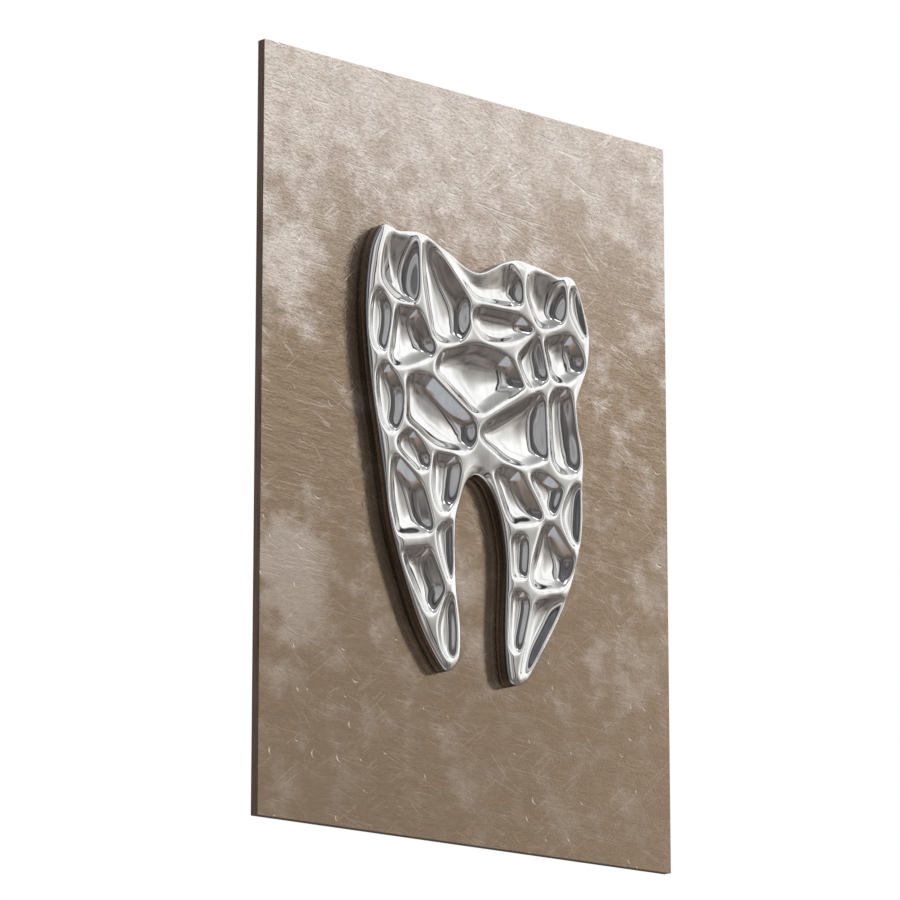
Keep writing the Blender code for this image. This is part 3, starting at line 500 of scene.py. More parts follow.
def polished_metal():
    """Polished casting: a mirror with faint hazy polishing marks."""
    net = Surface("polished_metal", POLISHED)
    marks = net.streaks((60, 60, 900), 4)
    haze = net.grain(35, 4)
    strokes = net.streaks((170, 170, 12), 3, 4)
    tone = net.scaled(net.base(net.vary(haze)), net.vary(strokes, 0.92, 1.06))
    shine = net.spread(haze, 0.35, 0.75, *POLISHED.roughness)
    shine = net.plus(shine, net.spread(marks, 0.5, 0.8, 0, 0.02))
    return net.finished(tone, shine, net.bump(net.grain(34, 0)))


def dark_bronze():
    """Side wall: dark glossy bronze, lined along its length, with painted reflection stripes in its
    colour.
    """
    net = Surface("dark_bronze", BRONZE)
    lines = net.streaks((5, 330, 5), 2)
    fine = net.streaks((14, 1800, 14), 3)
    # Painted reflection: stripes of the lighter colour mixed in along the wall's length
    tone = net.base(net.spread(lines, 0.38, 0.62))
    height = net.plus(fine, net.times(lines, 2.0))
    return net.finished(tone, net.worn(net.grain(60, 5)), net.bump(height))


def hairlines(net, turn, waves, width, keep):
    """Thin broken scratches: level lines of a stretched noise, kept where another is high."""
    field = net.streaks(waves, 1.5, turn)
    line = net.spread(net.math("ABSOLUTE", net.math("SUBTRACT", field, 0.5)), 0, width, 1, 0)
    gate = net.noise(net.place(turn=turn), GATE_WAVES, 1)
    return net.times(line, net.spread(gate, keep, keep + GATE_EDGE))


def nicks(net, flat, spacing, length, width, chance):
    """Small curved nicks, each turned its own way, in some cells of a grid."""
    found = net.cells(flat, 1 / spacing)
    draw = net.split(found["Color"])
    away = net.vector("SUBTRACT", flat, found["Position"])
    turn = net.spread(draw[0], 0, 1, *NICK_TURNS)
    away = net.add("VectorRotate", {"Vector": away, "Angle": turn}, rotation_type="Z_AXIS")[0]
    along, across = net.split(away)[:2]
    along = net.math("ABSOLUTE", along)
    bow = net.times(net.math("POWER", along, 2), NICK_BOW)
    across = net.math("ABSOLUTE", net.math("SUBTRACT", across, bow))
    reach = net.times(net.spread(draw[1], 0, 1, NICK_SHORTEST, 1), length)
    taper = net.spread(net.math("DIVIDE", along, reach), NICK_TAPER_START, 1, 1, 0)
    thin = net.spread(across, 0, width, 1, 0, True)
    return net.times(net.times(taper, thin), net.math("LESS_THAN", draw[2], chance))


def cloud_field(net, flat):
    """Paleness of the sheet's finish: fractal clouds, more at the chosen places and at the top."""
    stir = net.add("TexNoise", {"Vector": flat, "Scale": CLOUD_WAVES, "Detail": 4})["Color"]
    shift = net.scaled(net.vector("SUBTRACT", stir, (0.5, 0.5, 0.5)), CLOUD_BEND)
    bent = net.vector("MULTIPLY", net.vector("ADD", flat, shift), (1, 1, 0))
    field = net.noise(flat, CLOUD_WAVES, 8, 0.66)
    for across, down, radius, amount in SHEET_CLOUDS:
        spot = (SHEET_TOP_LEFT[0] + across * MM, SHEET_TOP_LEFT[1] - down * MM, 0.0)
        away = net.vector("DISTANCE", bent, spot)
        field = net.plus(field, net.spread(away, 0, radius * CLOUD_FADE, amount, 0, True))
    for change in (CLOUDS_BELOW, CLOUDS_ABOVE):
        field = net.plus(field, net.spread(net.split(flat)[1], *change, True))
    return field


def sheet_tone(net, x, z, pale, strokes, grain):
    """Colour of the sheet: brown to pale, streaked, grained, and darkened by painted shade in its
    creases.
    """
    brown = net.scaled(net.base(net.spread(x, *BROWN_SIDES)), net.spread(z, *BROWN_SHADE))
    tone = net.mix(pale, brown, SHEET_PALE)
    tone = net.scaled(tone, net.spread(grain, 0.7, 1.3, 0.90, 1.10))
    tone = net.scaled(tone, net.vary(strokes, 0.97, 1.03))
    # Painted shade: the tone darkened along the creases of a stretched noise, more towards the top
    painted_crease_shade = net.noise(net.place((0.55, 1, 1.25), -8), 480, 3, 0.7, 0.4)
    return net.scaled(tone, net.spread(painted_crease_shade, 0.36, 0.54, net.spread(z, *PAINTED_CREASE_SHADE), 1.05))


def bronze_sheet():
    """Metal-faced sheet: brown below and paler above, cloudy, grained, scratched and nicked."""
    net = Surface("bronze_sheet", SHEET)
    place = net.split(net.place())
    x, z = place[0], place[2]
    flat = net.joined(x, z, 0.0)
    pale = net.spread(cloud_field(net, flat), *CLOUD_EDGES, 0, 1, True)
    pale = net.spread(pale, 0, 1, net.spread(z, *LEAST_PALE), net.spread(z, *MOST_PALE))
    grain = net.grain(620, 2, 0.65)
    lines = net.streaks((60, 60, 520), 3, 1, 0.6)
    leather = net.noise(net.place((0.7, 1, 1.3), -8), 360, 3, 0.65, 0.6)
    strokes = net.streaks((30, 30, 130), 5, -6, 0.6)
    scratch = net.highest(*[hairlines(net, *family) for family in HAIRLINES])
    scratch = net.times(scratch, net.spread(z, *SCRATCH_SHARE))
    tick = net.highest(*[nicks(net, flat, *family) for family in NICKS])
    tone = sheet_tone(net, x, z, pale, strokes, net.plus(grain, lines))
    worn = net.highest(net.times(scratch, 0.42), net.times(tick, 0.4))
    tone = net.marked(tone, worn)
    upper = net.spread(net.plus(z, net.vary(strokes, -0.1, 0.1)), *LEATHER_SHARE)
    upper = net.times(upper, net.spread(pale, 0, 1, 1.3, 0.7))
    normal = net.bump(net.times(net.plus(leather, net.times(lines, 0.3)), upper))
    normal = net.bump(grain, normal, SHEET_GRAIN_BUMP)
    normal = net.bump(net.plus(tick, net.times(scratch, 0.5)), normal, -SHEET_MARK_DEPTH)
    return net.finished(tone, net.worn(leather), normal)


def dark_edge():
    """Edge strip: dark brown, finely ribbed, rubbed paler in places."""
    net = Surface("dark_edge", EDGE)
    ribs = net.streaks((30, 900, 30), 3)
    rub = net.grain(28, 5)
    tone = net.base(net.spread(ribs, 0.35, 0.65))
    tone = net.marked(tone, net.spread(rub, 0.5, 0.75, 0, 0.5))
    return net.finished(tone, net.worn(rub), net.bump(ribs))


def fibreboard():
    """Raw fibreboard with fine fibres and darker specks."""
    net = Surface("fibreboard", BOARD)
    fibres = net.noise(net.place((1, 3, 1)), 260, 5, 0.65)
    stain = net.vary(net.grain(14, 4), 0.88, 1.08)
    specks = net.cells(net.place(), 420)["Distance"]
    tone = net.scaled(net.base(net.vary(fibres)), stain)
    tone = net.marked(tone, net.spread(specks, 0.0, 0.22, 0.6, 0))
    return net.finished(tone, net.worn(fibres), net.bump(fibres))


def pine(name, along):
    """Planed pine: growth lines and fibres drawn out along one axis, and a few knots."""
    net = Surface(name, PINE)
    growth, fine, knotty = (
        net.place([share if axis == along else 1.0 for axis in range(3)]) for share in PINE_STRETCH
    )
    rings = net.math("FRACT", net.times(net.noise(growth, 60, 2, 0.5, 0.4), 8))
    late = net.spread(rings, 0.55, 0.98)
    fibres = net.noise(fine, 1500, 3)
    knots = net.cells(knotty, 9)["Distance"]
    tone = net.scaled(net.base(late), net.vary(fibres, 0.9, 1.06))
    tone = net.marked(tone, net.spread(knots, 0.02, 0.09, 0.8, 0))
    height = net.plus(net.times(late, 0.5), fibres)
    return net.finished(tone, net.spread(late, 0, 1, *PINE.roughness), net.bump(height))


def zinc_steel():
    """Zinc plating: pale grey with a faint spangle and duller spots."""
    net = Surface("zinc_steel", ZINC)
    spangle = net.split(net.cells(net.place(), 900)["Color"])[0]
    dust = net.grain(350, 4)
    tone = net.marked(net.base(spangle), net.spread(dust, 0.55, 0.75, 0, 0.6))
    return net.finished(tone, net.worn(dust), net.bump(dust))


def brass():
    """Turned brass with fine lines and slight tarnish."""
    net = Surface("brass", BRASS)
    lines = net.streaks((200, 6000, 200), 2)
    tarnish = net.grain(260, 5)
    tone = net.base(net.spread(tarnish, 0.45, 0.75))
    return net.finished(tone, net.worn(tarnish), net.bump(lines))


def black_rubber():
    """Soft black rubber with a fine grain and grey dust."""
    net = Surface("black_rubber", RUBBER)
    grain = net.grain(2400, 2)
    tone = net.base(net.spread(net.grain(180, 5), 0.5, 0.8, 0, 0.5))
    return net.finished(tone, net.worn(grain), net.bump(grain))


def pale_floor():
    """Pale matt floor with a faint unevenness."""
    net = Surface("pale_floor", FLOOR)
    cloud = net.grain(0.8, 4)
    return net.finished(net.base(cloud), net.worn(cloud))


def added(name, data):
    """New object in the scene."""
    thing = bpy.data.objects.new(name, data)
    bpy.context.scene.collection.objects.link(thing)
    return thing


def smooth_closed_curve(points, steps):
    """Catmull-Rom curve through the points of a closed outline, in metres."""
    start = np.reshape(points, (-1, 1, 2)) * MM
    before, end, after = (np.roll(start, step, axis=0) for step in (1, -1, -2))
    t = (np.arange(steps) / steps)[None, :, None]
    curve = (
        2 * start
        + (end - before) * t
        + (2 * before - 5 * start + 4 * end - after) * t ** 2
        + (3 * start - before - 3 * end + after) * t ** 3
    ) / 2
    return curve.reshape(-1, 2)


def inset(outline, distance):
    """Clockwise outline moved inwards along its normals."""
    along = np.roll(outline, -1, axis=0) - np.roll(outline, 1, axis=0)
    along /= np.linalg.norm(along, axis=1)[:, None]
    return outline + distance * np.stack([along[:, 1], -along[:, 0]], axis=1)


def cell_edges(number):
    """Edges of a cell as points and normals towards its inside, short where it is gentle."""
    start = np.reshape(CELL_RIMS[number], (-1, 2)) * MM
    along = np.roll(start, -1, axis=0) - start
    along /= np.linalg.norm(along, axis=1)[:, None]
    normal = np.stack([-along[:, 1], along[:, 0]], axis=1)
    to_middle = start.mean(axis=0) - start
    facing = np.sign((normal * to_middle).sum(axis=1))
    for cell, edge, shift in WIDER_WALLS:
        if cell == number:
            start[edge] -= normal[edge] * facing[edge] * shift * MM
    for cell, edge, share in GENTLE_WALLS:
        if cell == number:
            facing[edge] *= share
    return start, normal * facing[:, None]


def rim_distance(cell, points, corner=CELL_CORNER_ROUND):
    """Distance of points inside a cell's rim, with corners rounded by a size."""
    start, normal = cell
    distance = ((points[:, None, :] - start[None]) * normal[None]).sum(axis=2)
    return -corner * np.log(np.exp(-distance / corner).sum(axis=1))


class Boundary:
    """Closed outline that gives its distance from many points at once."""

    def __init__(self, outline):
        self.outline = outline
        self.along = np.roll(outline, -1, axis=0) - outline
        self.length = (self.along ** 2).sum(axis=1)
        self.tree = KDTree(len(outline))
        for index, (x, z) in enumerate(outline):
            self.tree.insert((x, z, 0), index)
        self.tree.balance()

    def distance(self, points):
        nearest = np.array([self.tree.find((x, z, 0))[1] for x, z in points])
        best = np.full(len(points), np.inf)
        for step in (-2, -1, 0, 1):
            edge = (nearest + step) % len(self.outline)
            gap = points - self.outline[edge]
            share = (gap * self.along[edge]).sum(axis=1) / self.length[edge]
            gap -= np.clip(share, 0, 1)[:, None] * self.along[edge]
            best = np.minimum(best, np.sqrt((gap ** 2).sum(axis=1)))
        return best


class SmoothField:
    """A height over the panel, smoothed on a grid and read between its points as a spline."""

    def __init__(self, outline, height):
        self.corner = outline.min(axis=0) - FIELD_MARGIN
        count = np.ceil((outline.max(axis=0) + FIELD_MARGIN - self.corner) / FIELD_STEP)
        across, up = (np.arange(size) * FIELD_STEP for size in count.astype(int))
        grid = np.stack(np.meshgrid(across, up, indexing="ij"), axis=2) + self.corner
        heights = height(grid.reshape(-1, 2)).reshape(grid.shape[:2])
        reach = math.ceil(KERNEL_REACH * FIELD_SOFTNESS / FIELD_STEP)
        kernel = np.exp(-(np.arange(-reach, reach + 1) * FIELD_STEP / FIELD_SOFTNESS) ** 2 / 2)
        kernel /= kernel.sum()
        for axis in range(2):
            shifted = [np.roll(heights, step, axis) for step in range(-reach, reach + 1)]
            heights = sum(share * height for share, height in zip(kernel, shifted))
        self.heights = heights

    def at(self, points):
        place = (points - self.corner) / FIELD_STEP
        cell = np.floor(place).astype(int)
        t = place - cell
        weights = np.stack([
            (1 - t) ** 3 / 6,
            (3 * t ** 3 - 6 * t ** 2 + 4) / 6,
            (-3 * t ** 3 + 3 * t ** 2 + 3 * t + 1) / 6,
            t ** 3 / 6,
        ])
        total = np.zeros(len(points))
        for i in range(4):
            for j in range(4):
                height = self.heights[cell[:, 0] + i - 1, cell[:, 1] + j - 1]
                total += weights[i, :, 0] * weights[j, :, 1] * height
        return total


def profile(slopes, height):
    """Distances and heights of a curve given by its slopes, brought to a total height."""
    level, slope = np.array(slopes).T
    distances = np.linspace(level[0], level[-1], PROFILE_SAMPLES) * MM
    steps = smooth_between(level * MM, slope, distances)
    rise = (steps[1:] + steps[:-1]) / 2 * np.diff(distances)
    rises = np.concatenate([[0], np.cumsum(rise)])
    return distances, rises * height / rises[-1]


class Relief:
    """The relief's front as a depth below its crest over points (x, z) of the panel."""

    def __init__(self, outline, depth):
        self.outline = outline
        self.boundary = Boundary(outline)
        self.cells = [cell_edges(number) for number in range(len(CELL_RIMS))]
        self.centres = [deepest_point(cell) for cell in self.cells]
        self.wall = profile(WALL_SLOPES, depth - FLOOR_DISH)
        distances, rises = profile(EDGE_SLOPES, RIM_ROUND_HEIGHT)
        self.edge = distances, RIM_ROUND_HEIGHT - rises
        self.field = SmoothField(outline, self.cells_drop)

    def cell_drop(self, cell, centre, points):
        """Wall down from the rim and a shallow dish in the floor, all smaller in a narrow cell."""
        reach = rim_distance(cell, centre[None])[0]
        size = np.clip(reach / FULL_SIZE_REACH, NARROWEST_SHARE, 1)
        wall = size * np.interp(rim_distance(cell, points) / size, *self.wall)
        inner = rim_distance(cell, points, FLOOR_CORNER_ROUND) - FLOOR_DISH_START
        return wall + FLOOR_DISH * rise_share(inner / FLOOR_DISH_RUN)

    def open_drop(self, cell, points, run, depth):
        """Round trough that gets shallower towards the outline."""
        inner = rim_distance(cell, points)
        drop = OPEN_WALL_SHARE * np.interp(inner, *self.wall)
        drop += OPEN_DISH * rise_share(inner / OPEN_DISH_RUN)
        near = drop > 0
        drop[near] *= depth * rise_share(self.boundary.distance(points[near]) / run)
        return drop

    def cells_drop(self, points):
        drops = []
        opened = [entry[0] for entry in OPEN_CELLS]
        for number, (cell, centre) in enumerate(zip(self.cells, self.centres)):
            if number not in opened:
                drops.append(self.cell_drop(cell, centre, points))
        for number, edges, run, depth in OPEN_CELLS:
            cell = [np.delete(part, edges, axis=0) for part in self.cells[number]]
            drops.append(self.open_drop(cell, points, run * MM, depth))
        for x, z, radius, depth in np.array(CREST_HOLLOWS) * MM:
            away = ((points - (x, z)) ** 2).sum(axis=1)
            drops.append(depth * np.exp(-away / radius ** 2))
        return np.sum(drops, axis=0)

    def drop(self, points):
        return np.interp(self.boundary.distance(points), *self.edge) + self.field.at(points)

    def nearest_rim(self, points, but=None):
        """Distance inside the nearest cell, below zero on the ribs."""
        cells = [cell for number, cell in enumerate(self.cells) if number != but]
        return np.max([rim_distance(cell, points) for cell in cells], axis=0)


def rise_share(share):
    """Rise from zero to one that gets ever gentler."""
    return 1 - (1 - np.clip(share, 0, 1)) ** 2


def smooth_between(knots, values, places):
    """Values between knots along a monotone cubic, flat at both ends."""
    step = np.diff(knots)
    secant = np.diff(values) / step
    slope = np.zeros(len(knots))
    same = secant[:-1] * secant[1:] > 0
    mean = 2 * secant[:-1] * secant[1:] / np.where(same, secant[:-1] + secant[1:], 1)
    slope[1:-1] = np.where(same, mean, 0)
    span = np.clip(np.searchsorted(knots, places, side="right") - 1, 0, len(step) - 1)
    t = (places - knots[span]) / step[span]
    start, end = values[span], values[span + 1]
    return (
        start * (1 + 2 * t) * (1 - t) ** 2
        + slope[span] * step[span] * t * (1 - t) ** 2
        + end * t ** 2 * (3 - 2 * t)
        + slope[span + 1] * step[span] * t ** 2 * (t - 1)
    )


def deepest_point(cell):
    """Point of a cell farthest from its rim."""
    place = cell[0].mean(axis=0)
    step = CENTRE_FIRST_STEP
    compass = np.array([(0, 0), (1, 0), (-1, 0), (0, 1), (0, -1)])
    while step > CENTRE_LAST_STEP:
        around = place + step * compass
        best = int(np.argmax(rim_distance(cell, around)))
        place = around[best]
        if best == 0:
            step /= 2
    return place


def ring_on_level(cell, centre, angles, level):
    """Points on rays from the cell's centre at one distance inside the rim."""
    heading = np.stack([np.cos(angles), np.sin(angles)], axis=1)
    near = np.zeros(len(angles))
    far = np.full(len(angles), FARTHEST_RIM)
    for _ in range(HALVINGS):
        middle = (near + far) / 2
        points = centre + heading * middle[:, None]
        inside = rim_distance(cell, points) > level
        near = np.where(inside, middle, near)
        far = np.where(inside, far, middle)
    return centre + heading * near[:, None]


def spread_angles(cell, centre):
    """Angles that spread a ring's points evenly along the rim."""
    angles = np.linspace(0, 2 * math.pi, RIM_ANGLES)
    ring = ring_on_level(cell, centre, angles, 0)
    run = np.concatenate([[0], np.cumsum(np.linalg.norm(np.diff(ring, axis=0), axis=1))])
    count = max(FEWEST_RIM_POINTS, round(run[-1] / RIM_SPACING))
    return np.interp(run[-1] * np.arange(count) / count, run, angles)


def cell_rings(cell, centre, angles):
    """Rings of one cell from its rim to its middle."""
    innermost = INNER_RING_SHARE * rim_distance(cell, centre[None])[0]
    levels = [level * MM for level in CELL_LEVELS if level * MM < innermost]
    return [ring_on_level(cell, centre, angles, level) for level in levels]


def rib_rows(relief, number, centre, angles):
    """Rows outside one cell's rim, as far as the middle of the ribs around it."""
    rows = []
    for level in RIB_LEVELS:
        row = ring_on_level(relief.cells[number], centre, angles, level * MM)
        reach = relief.nearest_rim(row, number) + ROW_CLEARANCE < level * MM
        inside = points_inside(relief.outline, row)
        edge = relief.boundary.distance(row) > ROW_CLEARANCE - level * MM
        rows.append(row[reach & inside & edge])
    return np.concatenate(rows)


def edge_rows(relief):
    """Rows along the outline, as far as the middle between it and the cells."""
    rows = []
    for level in EDGE_LEVELS:
        row = inset(relief.outline, level * MM)
        clear = relief.nearest_rim(row) + ROW_CLEARANCE < -min(level * MM, -RIB_LEVELS[-1] * MM)
        clear &= relief.boundary.distance(row) > OUTLINE_ROW_SHARE * level * MM
        rows.append(row[clear])
    return np.concatenate(rows)


def crest_points(relief):
    """Grid on the wide parts of the crest."""
    ends = zip(relief.outline.min(axis=0), relief.outline.max(axis=0))
    across, up = (np.arange(low, high, CREST_SPACING) for low, high in ends)
    grid = np.stack(np.meshgrid(across, up), axis=2).reshape(-1, 2)
    grid = grid[points_inside(relief.outline, grid)]
    edge = relief.boundary.distance(grid) > EDGE_LEVELS[-1] * MM + CREST_SPACING / 2
    cells = relief.nearest_rim(grid) < RIB_LEVELS[-1] * MM - CREST_SPACING / 2
    return grid[edge & cells]


def points_inside(outline, points):
    """Which points lie inside a closed outline, by counting crossings."""
    inside = np.zeros(len(points), bool)
    x, z = points[:, 0], points[:, 1]
    for (x1, z1), (x2, z2) in zip(outline, np.roll(outline, -1, axis=0)):
        if z1 == z2:
            continue
        crosses = (z1 > z) != (z2 > z)
        inside ^= crosses & (x < (x2 - x1) * (z - z1) / (z2 - z1) + x1)
    return inside


class Shell:
    """Points and faces of one closed surface, gathered loop by loop."""

    def __init__(self, centre_z):
        self.centre_z = centre_z
        self.points = []
        self.faces = []

    def add(self, flat, y):
        """Add points (x, z) of the panel at one depth or at one each, and return their numbers."""
        first = len(self.points)
        depths = np.broadcast_to(y, len(flat))
        self.points += [(x, depth, z + self.centre_z) for (x, z), depth in zip(flat, depths)]
        return range(first, len(self.points))

    def band(self, here, there):
        """Quads between two closed loops of as many points."""
        for step in range(len(here)):
            after = (step + 1) % len(here)
            self.faces.append((here[step], here[after], there[after], there[step]))

    def close(self, loop, point, y):
        """Triangles from a loop to one point."""
        tip = self.add(point[None], y)[0]
        for step in range(len(loop)):
            self.faces.append((loop[step], loop[(step + 1) % len(loop)], tip))

    def made(self, name):
        """Object with its faces turned outwards and its hard edges kept."""
        mesh = bpy.data.meshes.new(name)
        mesh.from_pydata(self.points, [], self.faces)
        work = bmesh.new()
        work.from_mesh(mesh)
        loose = [vertex for vertex in work.verts if not vertex.link_faces]
        bmesh.ops.delete(work, geom=loose, context="VERTS")
        bmesh.ops.recalc_face_normals(work, faces=work.faces)
        work.to_mesh(mesh)
        work.free()
        mesh.shade_smooth()
        mesh.set_sharp_from_angle(angle=math.radians(SHARP_DEGREES))
        return added(name, mesh)


def triangulated(loops, extra):
    """Points and triangles inside the first loop and outside the others, with extra points."""
    places = np.concatenate([*loops, extra])
    sizes = [len(loop) for loop in loops] + [len(extra)]
    owners = np.repeat(np.arange(len(sizes)), sizes)
    edges = []
    first = 0
    for loop in loops:
        around = list(range(first, first + len(loop)))
        edges += list(zip(around, around[1:] + around[:1]))
        first += len(loop)
    result = delaunay_2d_cdt(list(map(Vector, places)), edges, [], TRIANGLES_INSIDE, SAME_PLACE)
    triangles, origins = result[2:4]
    source = [group[0] for group in origins]
    faces = []
    for triangle in triangles:
        corners = tuple(source[vertex] for vertex in triangle)
        touched = {int(owners[corner]) for corner in corners}
        in_hole = len(touched) == 1 and 0 < min(touched) < len(loops)
        if not in_hole:
            faces.append(corners)
    return places, faces


def add_relief_front(shell, relief, crest_y):
    """Crest with its ribs between the outline and the cells, and rings down into each cell."""
    rims = []
    stacks = []
    extras = [edge_rows(relief), crest_points(relief)]
    for number, (cell, centre) in enumerate(zip(relief.cells, relief.centres)):
        angles = spread_angles(cell, centre)
        rings = cell_rings(cell, centre, angles)
        extras.append(rib_rows(relief, number, centre, angles))
        rims.append(rings[0])
        stacks.append(rings[1:])
    places, faces = triangulated([relief.outline, *rims], np.concatenate(extras))
    numbers = shell.add(places, crest_y + relief.drop(places))
    shell.faces += faces
    first = len(relief.outline)
    for rim, stack, centre in zip(rims, stacks, relief.centres):
        before = numbers[first:first + len(rim)]
        first += len(rim)
        for ring in stack:
            now = shell.add(ring, crest_y + relief.drop(ring))
            shell.band(before, now)
            before = now
        shell.close(before, centre, crest_y + relief.drop(centre[None]))


def add_relief_back(shell, outline, rim_back_y, back_y):
    """Rim's underside, the plug that stands in the skirt, and its back with blind holes."""
    before = range(len(outline))
    plug = inset(outline, SKIRT_WALL + PIECE_GAP)
    for row, y in ((outline, rim_back_y), (plug, rim_back_y), (plug, back_y)):
        now = shell.add(row, y)
        shell.band(before, now)
        before = now
    turn = np.linspace(0, 2 * math.pi, HOLE_SIDES, endpoint=False)
    circle = HOLE_RADIUS * np.stack([np.cos(turn), np.sin(turn)], axis=1)
    middles = np.array(HOLE_POINTS) * MM
    holes = [middle + circle for middle in middles]
    places, faces = triangulated([plug, *holes], np.empty((0, 2)))
    numbers = [*before, *shell.add(places[len(plug):], back_y)]
    shell.faces += [tuple(numbers[corner] for corner in face) for face in faces]
    first = len(plug)
    for hole, middle in zip(holes, middles):
        bottom = shell.add(hole, back_y - HOLE_DEPTH)
        shell.band(numbers[first:first + len(hole)], bottom)
        shell.close(bottom, middle, back_y - HOLE_DEPTH)
        first += len(hole)


def relief_object(relief, centre_z):
    """The whole casting: front, rim, plug and back."""
    low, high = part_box("tooth_relief")
    skirt_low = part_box("tooth_skirt")[0]
    shell = Shell(centre_z)
    add_relief_front(shell, relief, low.y)
    add_relief_back(shell, relief.outline, skirt_low.y - PIECE_GAP, high.y)
    return shell.made("relief_casting")


def skirt_object(outline, centre_z):
    """Side wall: a closed ring with rounded outer edges."""
    low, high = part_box("tooth_skirt")
    turn = np.linspace(0, math.pi / 2, SKIRT_ROUND_STEPS + 1)
    front, back = SKIRT_FRONT_ROUND, SKIRT_BACK_ROUND
    section = [(front * (1 - math.sin(a)), low.y + front * (1 - math.cos(a))) for a in turn]
    section += [(back * (1 - math.cos(a)), high.y - back * (1 - math.sin(a))) for a in turn]
    section += [(SKIRT_WALL, high.y), (SKIRT_WALL, low.y)]
    shell = Shell(centre_z)
    rows = [shell.add(inset(outline, distance), y) for distance, y in section]
    for here, there in zip(rows, rows[1:] + rows[:1]):
        shell.band(here, there)
    return shell.made("skirt_ring")


def add_camera(centre):
    """Camera at the photograph's viewing angle."""
    data = bpy.data.cameras.new("camera")
    data.lens = CAMERA_LENS
    data.sensor_width = CAMERA_SENSOR
    data.clip_end = CAMERA_REACH
    camera = added("camera", data)
    camera.location = centre + Vector(CAMERA_OFFSET)
    camera.rotation_euler = (math.radians(90 + CAMERA_PITCH), 0, math.radians(-CAMERA_YAW))
    bpy.context.scene.camera = camera


def elevation_ramp(net, elevation, stops):
    """Colours by elevation in degrees."""
    ramp = net.tree.nodes.new("ShaderNodeValToRGB")
    ramp.color_ramp.interpolation = "B_SPLINE"
    net.feed(ramp.inputs[0], net.math("MULTIPLY_ADD", elevation, 1 / 180, 0.5))
    elements = ramp.color_ramp.elements
    while len(elements) < len(stops):
        elements.new(0.5)
    for element, (angle, tone) in zip(elements, stops):
        element.position = angle / 180 + 0.5
        element.color = (*tone, 1)
    return ramp.outputs[0]


def studio_noise(net, azimuth, elevation, across, up, depth, least, most):
    """Slow change of the studio's light between two shares."""
    place = net.joined(net.times(azimuth, across), net.times(elevation, up), depth)
    return net.vary(net.noise(place, 1.0, 2), least, most)


def streaked(net, color, azimuth, elevation):
    """Upright streaks of light and shade around the dim side, and softer ones on the ground."""
    left = net.band(azimuth, *LEFT_BAND)
    dim = net.math("MULTIPLY_ADD", left, LEFT_STREAK_SHARE, net.band(azimuth, *FRONT_BAND))
    walls = net.times(dim, net.band(elevation, *WALL_BAND))
    walls = net.times(studio_noise(net, azimuth, elevation, *WALL_STREAKS), walls)
    ground = net.band(elevation, *GROUND_BAND)
    ground = net.times(studio_noise(net, azimuth, elevation, *GROUND_STREAKS), ground)
    return net.scaled(color, net.plus(net.plus(walls, ground), 1.0))


def studio_color(net):
    """What polished metal sees around it: a bright side, a dim side and a dark floor."""
    x, y, z = net.split(net.add("TexCoord", {})["Generated"])
    azimuth = net.math("DEGREES", net.math("ARCTAN2", x, net.times(y, -1.0)))
    elevation = net.math("DEGREES", net.math("ARCSINE", z))
    color = elevation_ramp(net, elevation, STUDIO_BASE)
    for low, high, edge, stops in STUDIO_SECTORS:
        inside = net.band(azimuth, low, high, edge)
        color = net.mix(inside, color, elevation_ramp(net, elevation, stops))
    color = streaked(net, color, azimuth, elevation)
    for low, high, edge, bottom, top, rim, tone in STUDIO_PATCHES:
        upright = net.band(elevation, bottom, top, rim)
        inside = net.times(net.band(azimuth, low, high, edge), upright)
        color = net.mix(inside, color, tone)
    return color


def add_world():
    """White backdrop, plain soft light, and the studio that metal reflects."""
    world = bpy.data.worlds.new("world")
    bpy.context.scene.world = world
    world.use_nodes = True
    net = Net(world.node_tree)
    path = net.add("LightPath", {})
    seen = net.highest(path["Is Camera Ray"], path["Is Transmission Ray"])
    plain = net.mix(seen, DIFFUSE_LIGHT, WHITE)
    studio = net.scaled(studio_color(net), STUDIO_LEVEL)
    color = net.mix(path["Is Glossy Ray"], plain, studio)
    net.feed(net.tree.nodes["Background"].inputs["Color"], color)


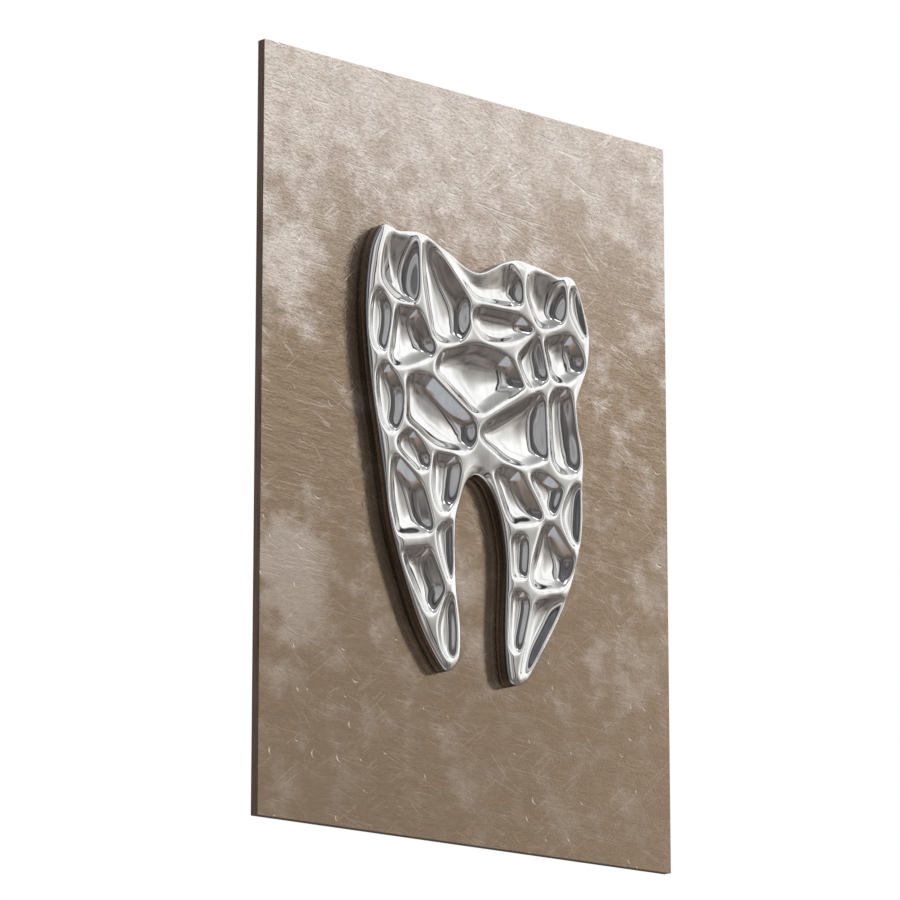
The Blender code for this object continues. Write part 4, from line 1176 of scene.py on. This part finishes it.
def add_floor(centre):
    """Pale floor well below the panel."""
    mesh = bpy.data.meshes.new("floor")
    level = centre.z - FLOOR_BELOW
    corners = [
        (side * FLOOR_HALF, front * FLOOR_HALF, level)
        for side, front in ((-1, -1), (1, -1), (1, 1), (-1, 1))
    ]
    mesh.from_pydata(corners, [], [(0, 1, 2, 3)])
    mesh.materials.append(pale_floor())
    floor = added("floor", mesh)
    floor.visible_glossy = False


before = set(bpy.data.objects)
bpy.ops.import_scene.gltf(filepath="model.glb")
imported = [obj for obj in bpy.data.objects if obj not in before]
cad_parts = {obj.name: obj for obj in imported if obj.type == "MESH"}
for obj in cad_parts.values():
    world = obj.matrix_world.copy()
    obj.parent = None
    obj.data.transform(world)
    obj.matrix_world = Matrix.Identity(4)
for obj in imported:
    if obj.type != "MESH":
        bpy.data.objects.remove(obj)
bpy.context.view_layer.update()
bpy.context.scene.view_settings.view_transform = "Standard"

sheet_low, sheet_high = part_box("laminate_face")
relief_low, relief_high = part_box("tooth_relief")
panel_centre = Vector((0, sheet_low.y, (sheet_low.z + sheet_high.z) / 2))
outline = smooth_closed_curve(TOOTH_OUTLINE, OUTLINE_STEPS)
relief = Relief(outline, relief_high.y - relief_low.y - CELL_FLOOR)
relief_piece = relief_object(relief, panel_centre.z)
skirt_piece = skirt_object(outline, panel_centre.z)
for piece, node, material, slot in (
    (relief_piece, "tooth_relief", polished_metal(), "polished_metal"),
    (skirt_piece, "tooth_skirt", dark_bronze(), "dark_bronze"),
):
    piece.data.materials.append(material)
    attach(piece, "root")
    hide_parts(node)

names = sorted(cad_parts)
dress(["laminate_face"], bronze_sheet())
dress(["core_board"], fibreboard())
dress([name for name in names if name.startswith("edge_band")], dark_edge())
dress(["stile_left", "stile_right"], pine("pine_upright", 2))
dress(["bottom_rail", "hanging_cleat", "wall_cleat"], pine("pine_level", 0))
dress([name for name in names if "screw" in name or "washer" in name], zinc_steel())
dress([name for name in names if "insert" in name], brass())
dress([name for name in names if "bumper" in name], black_rubber())

add_camera(panel_centre)
add_world()
add_floor(panel_centre)
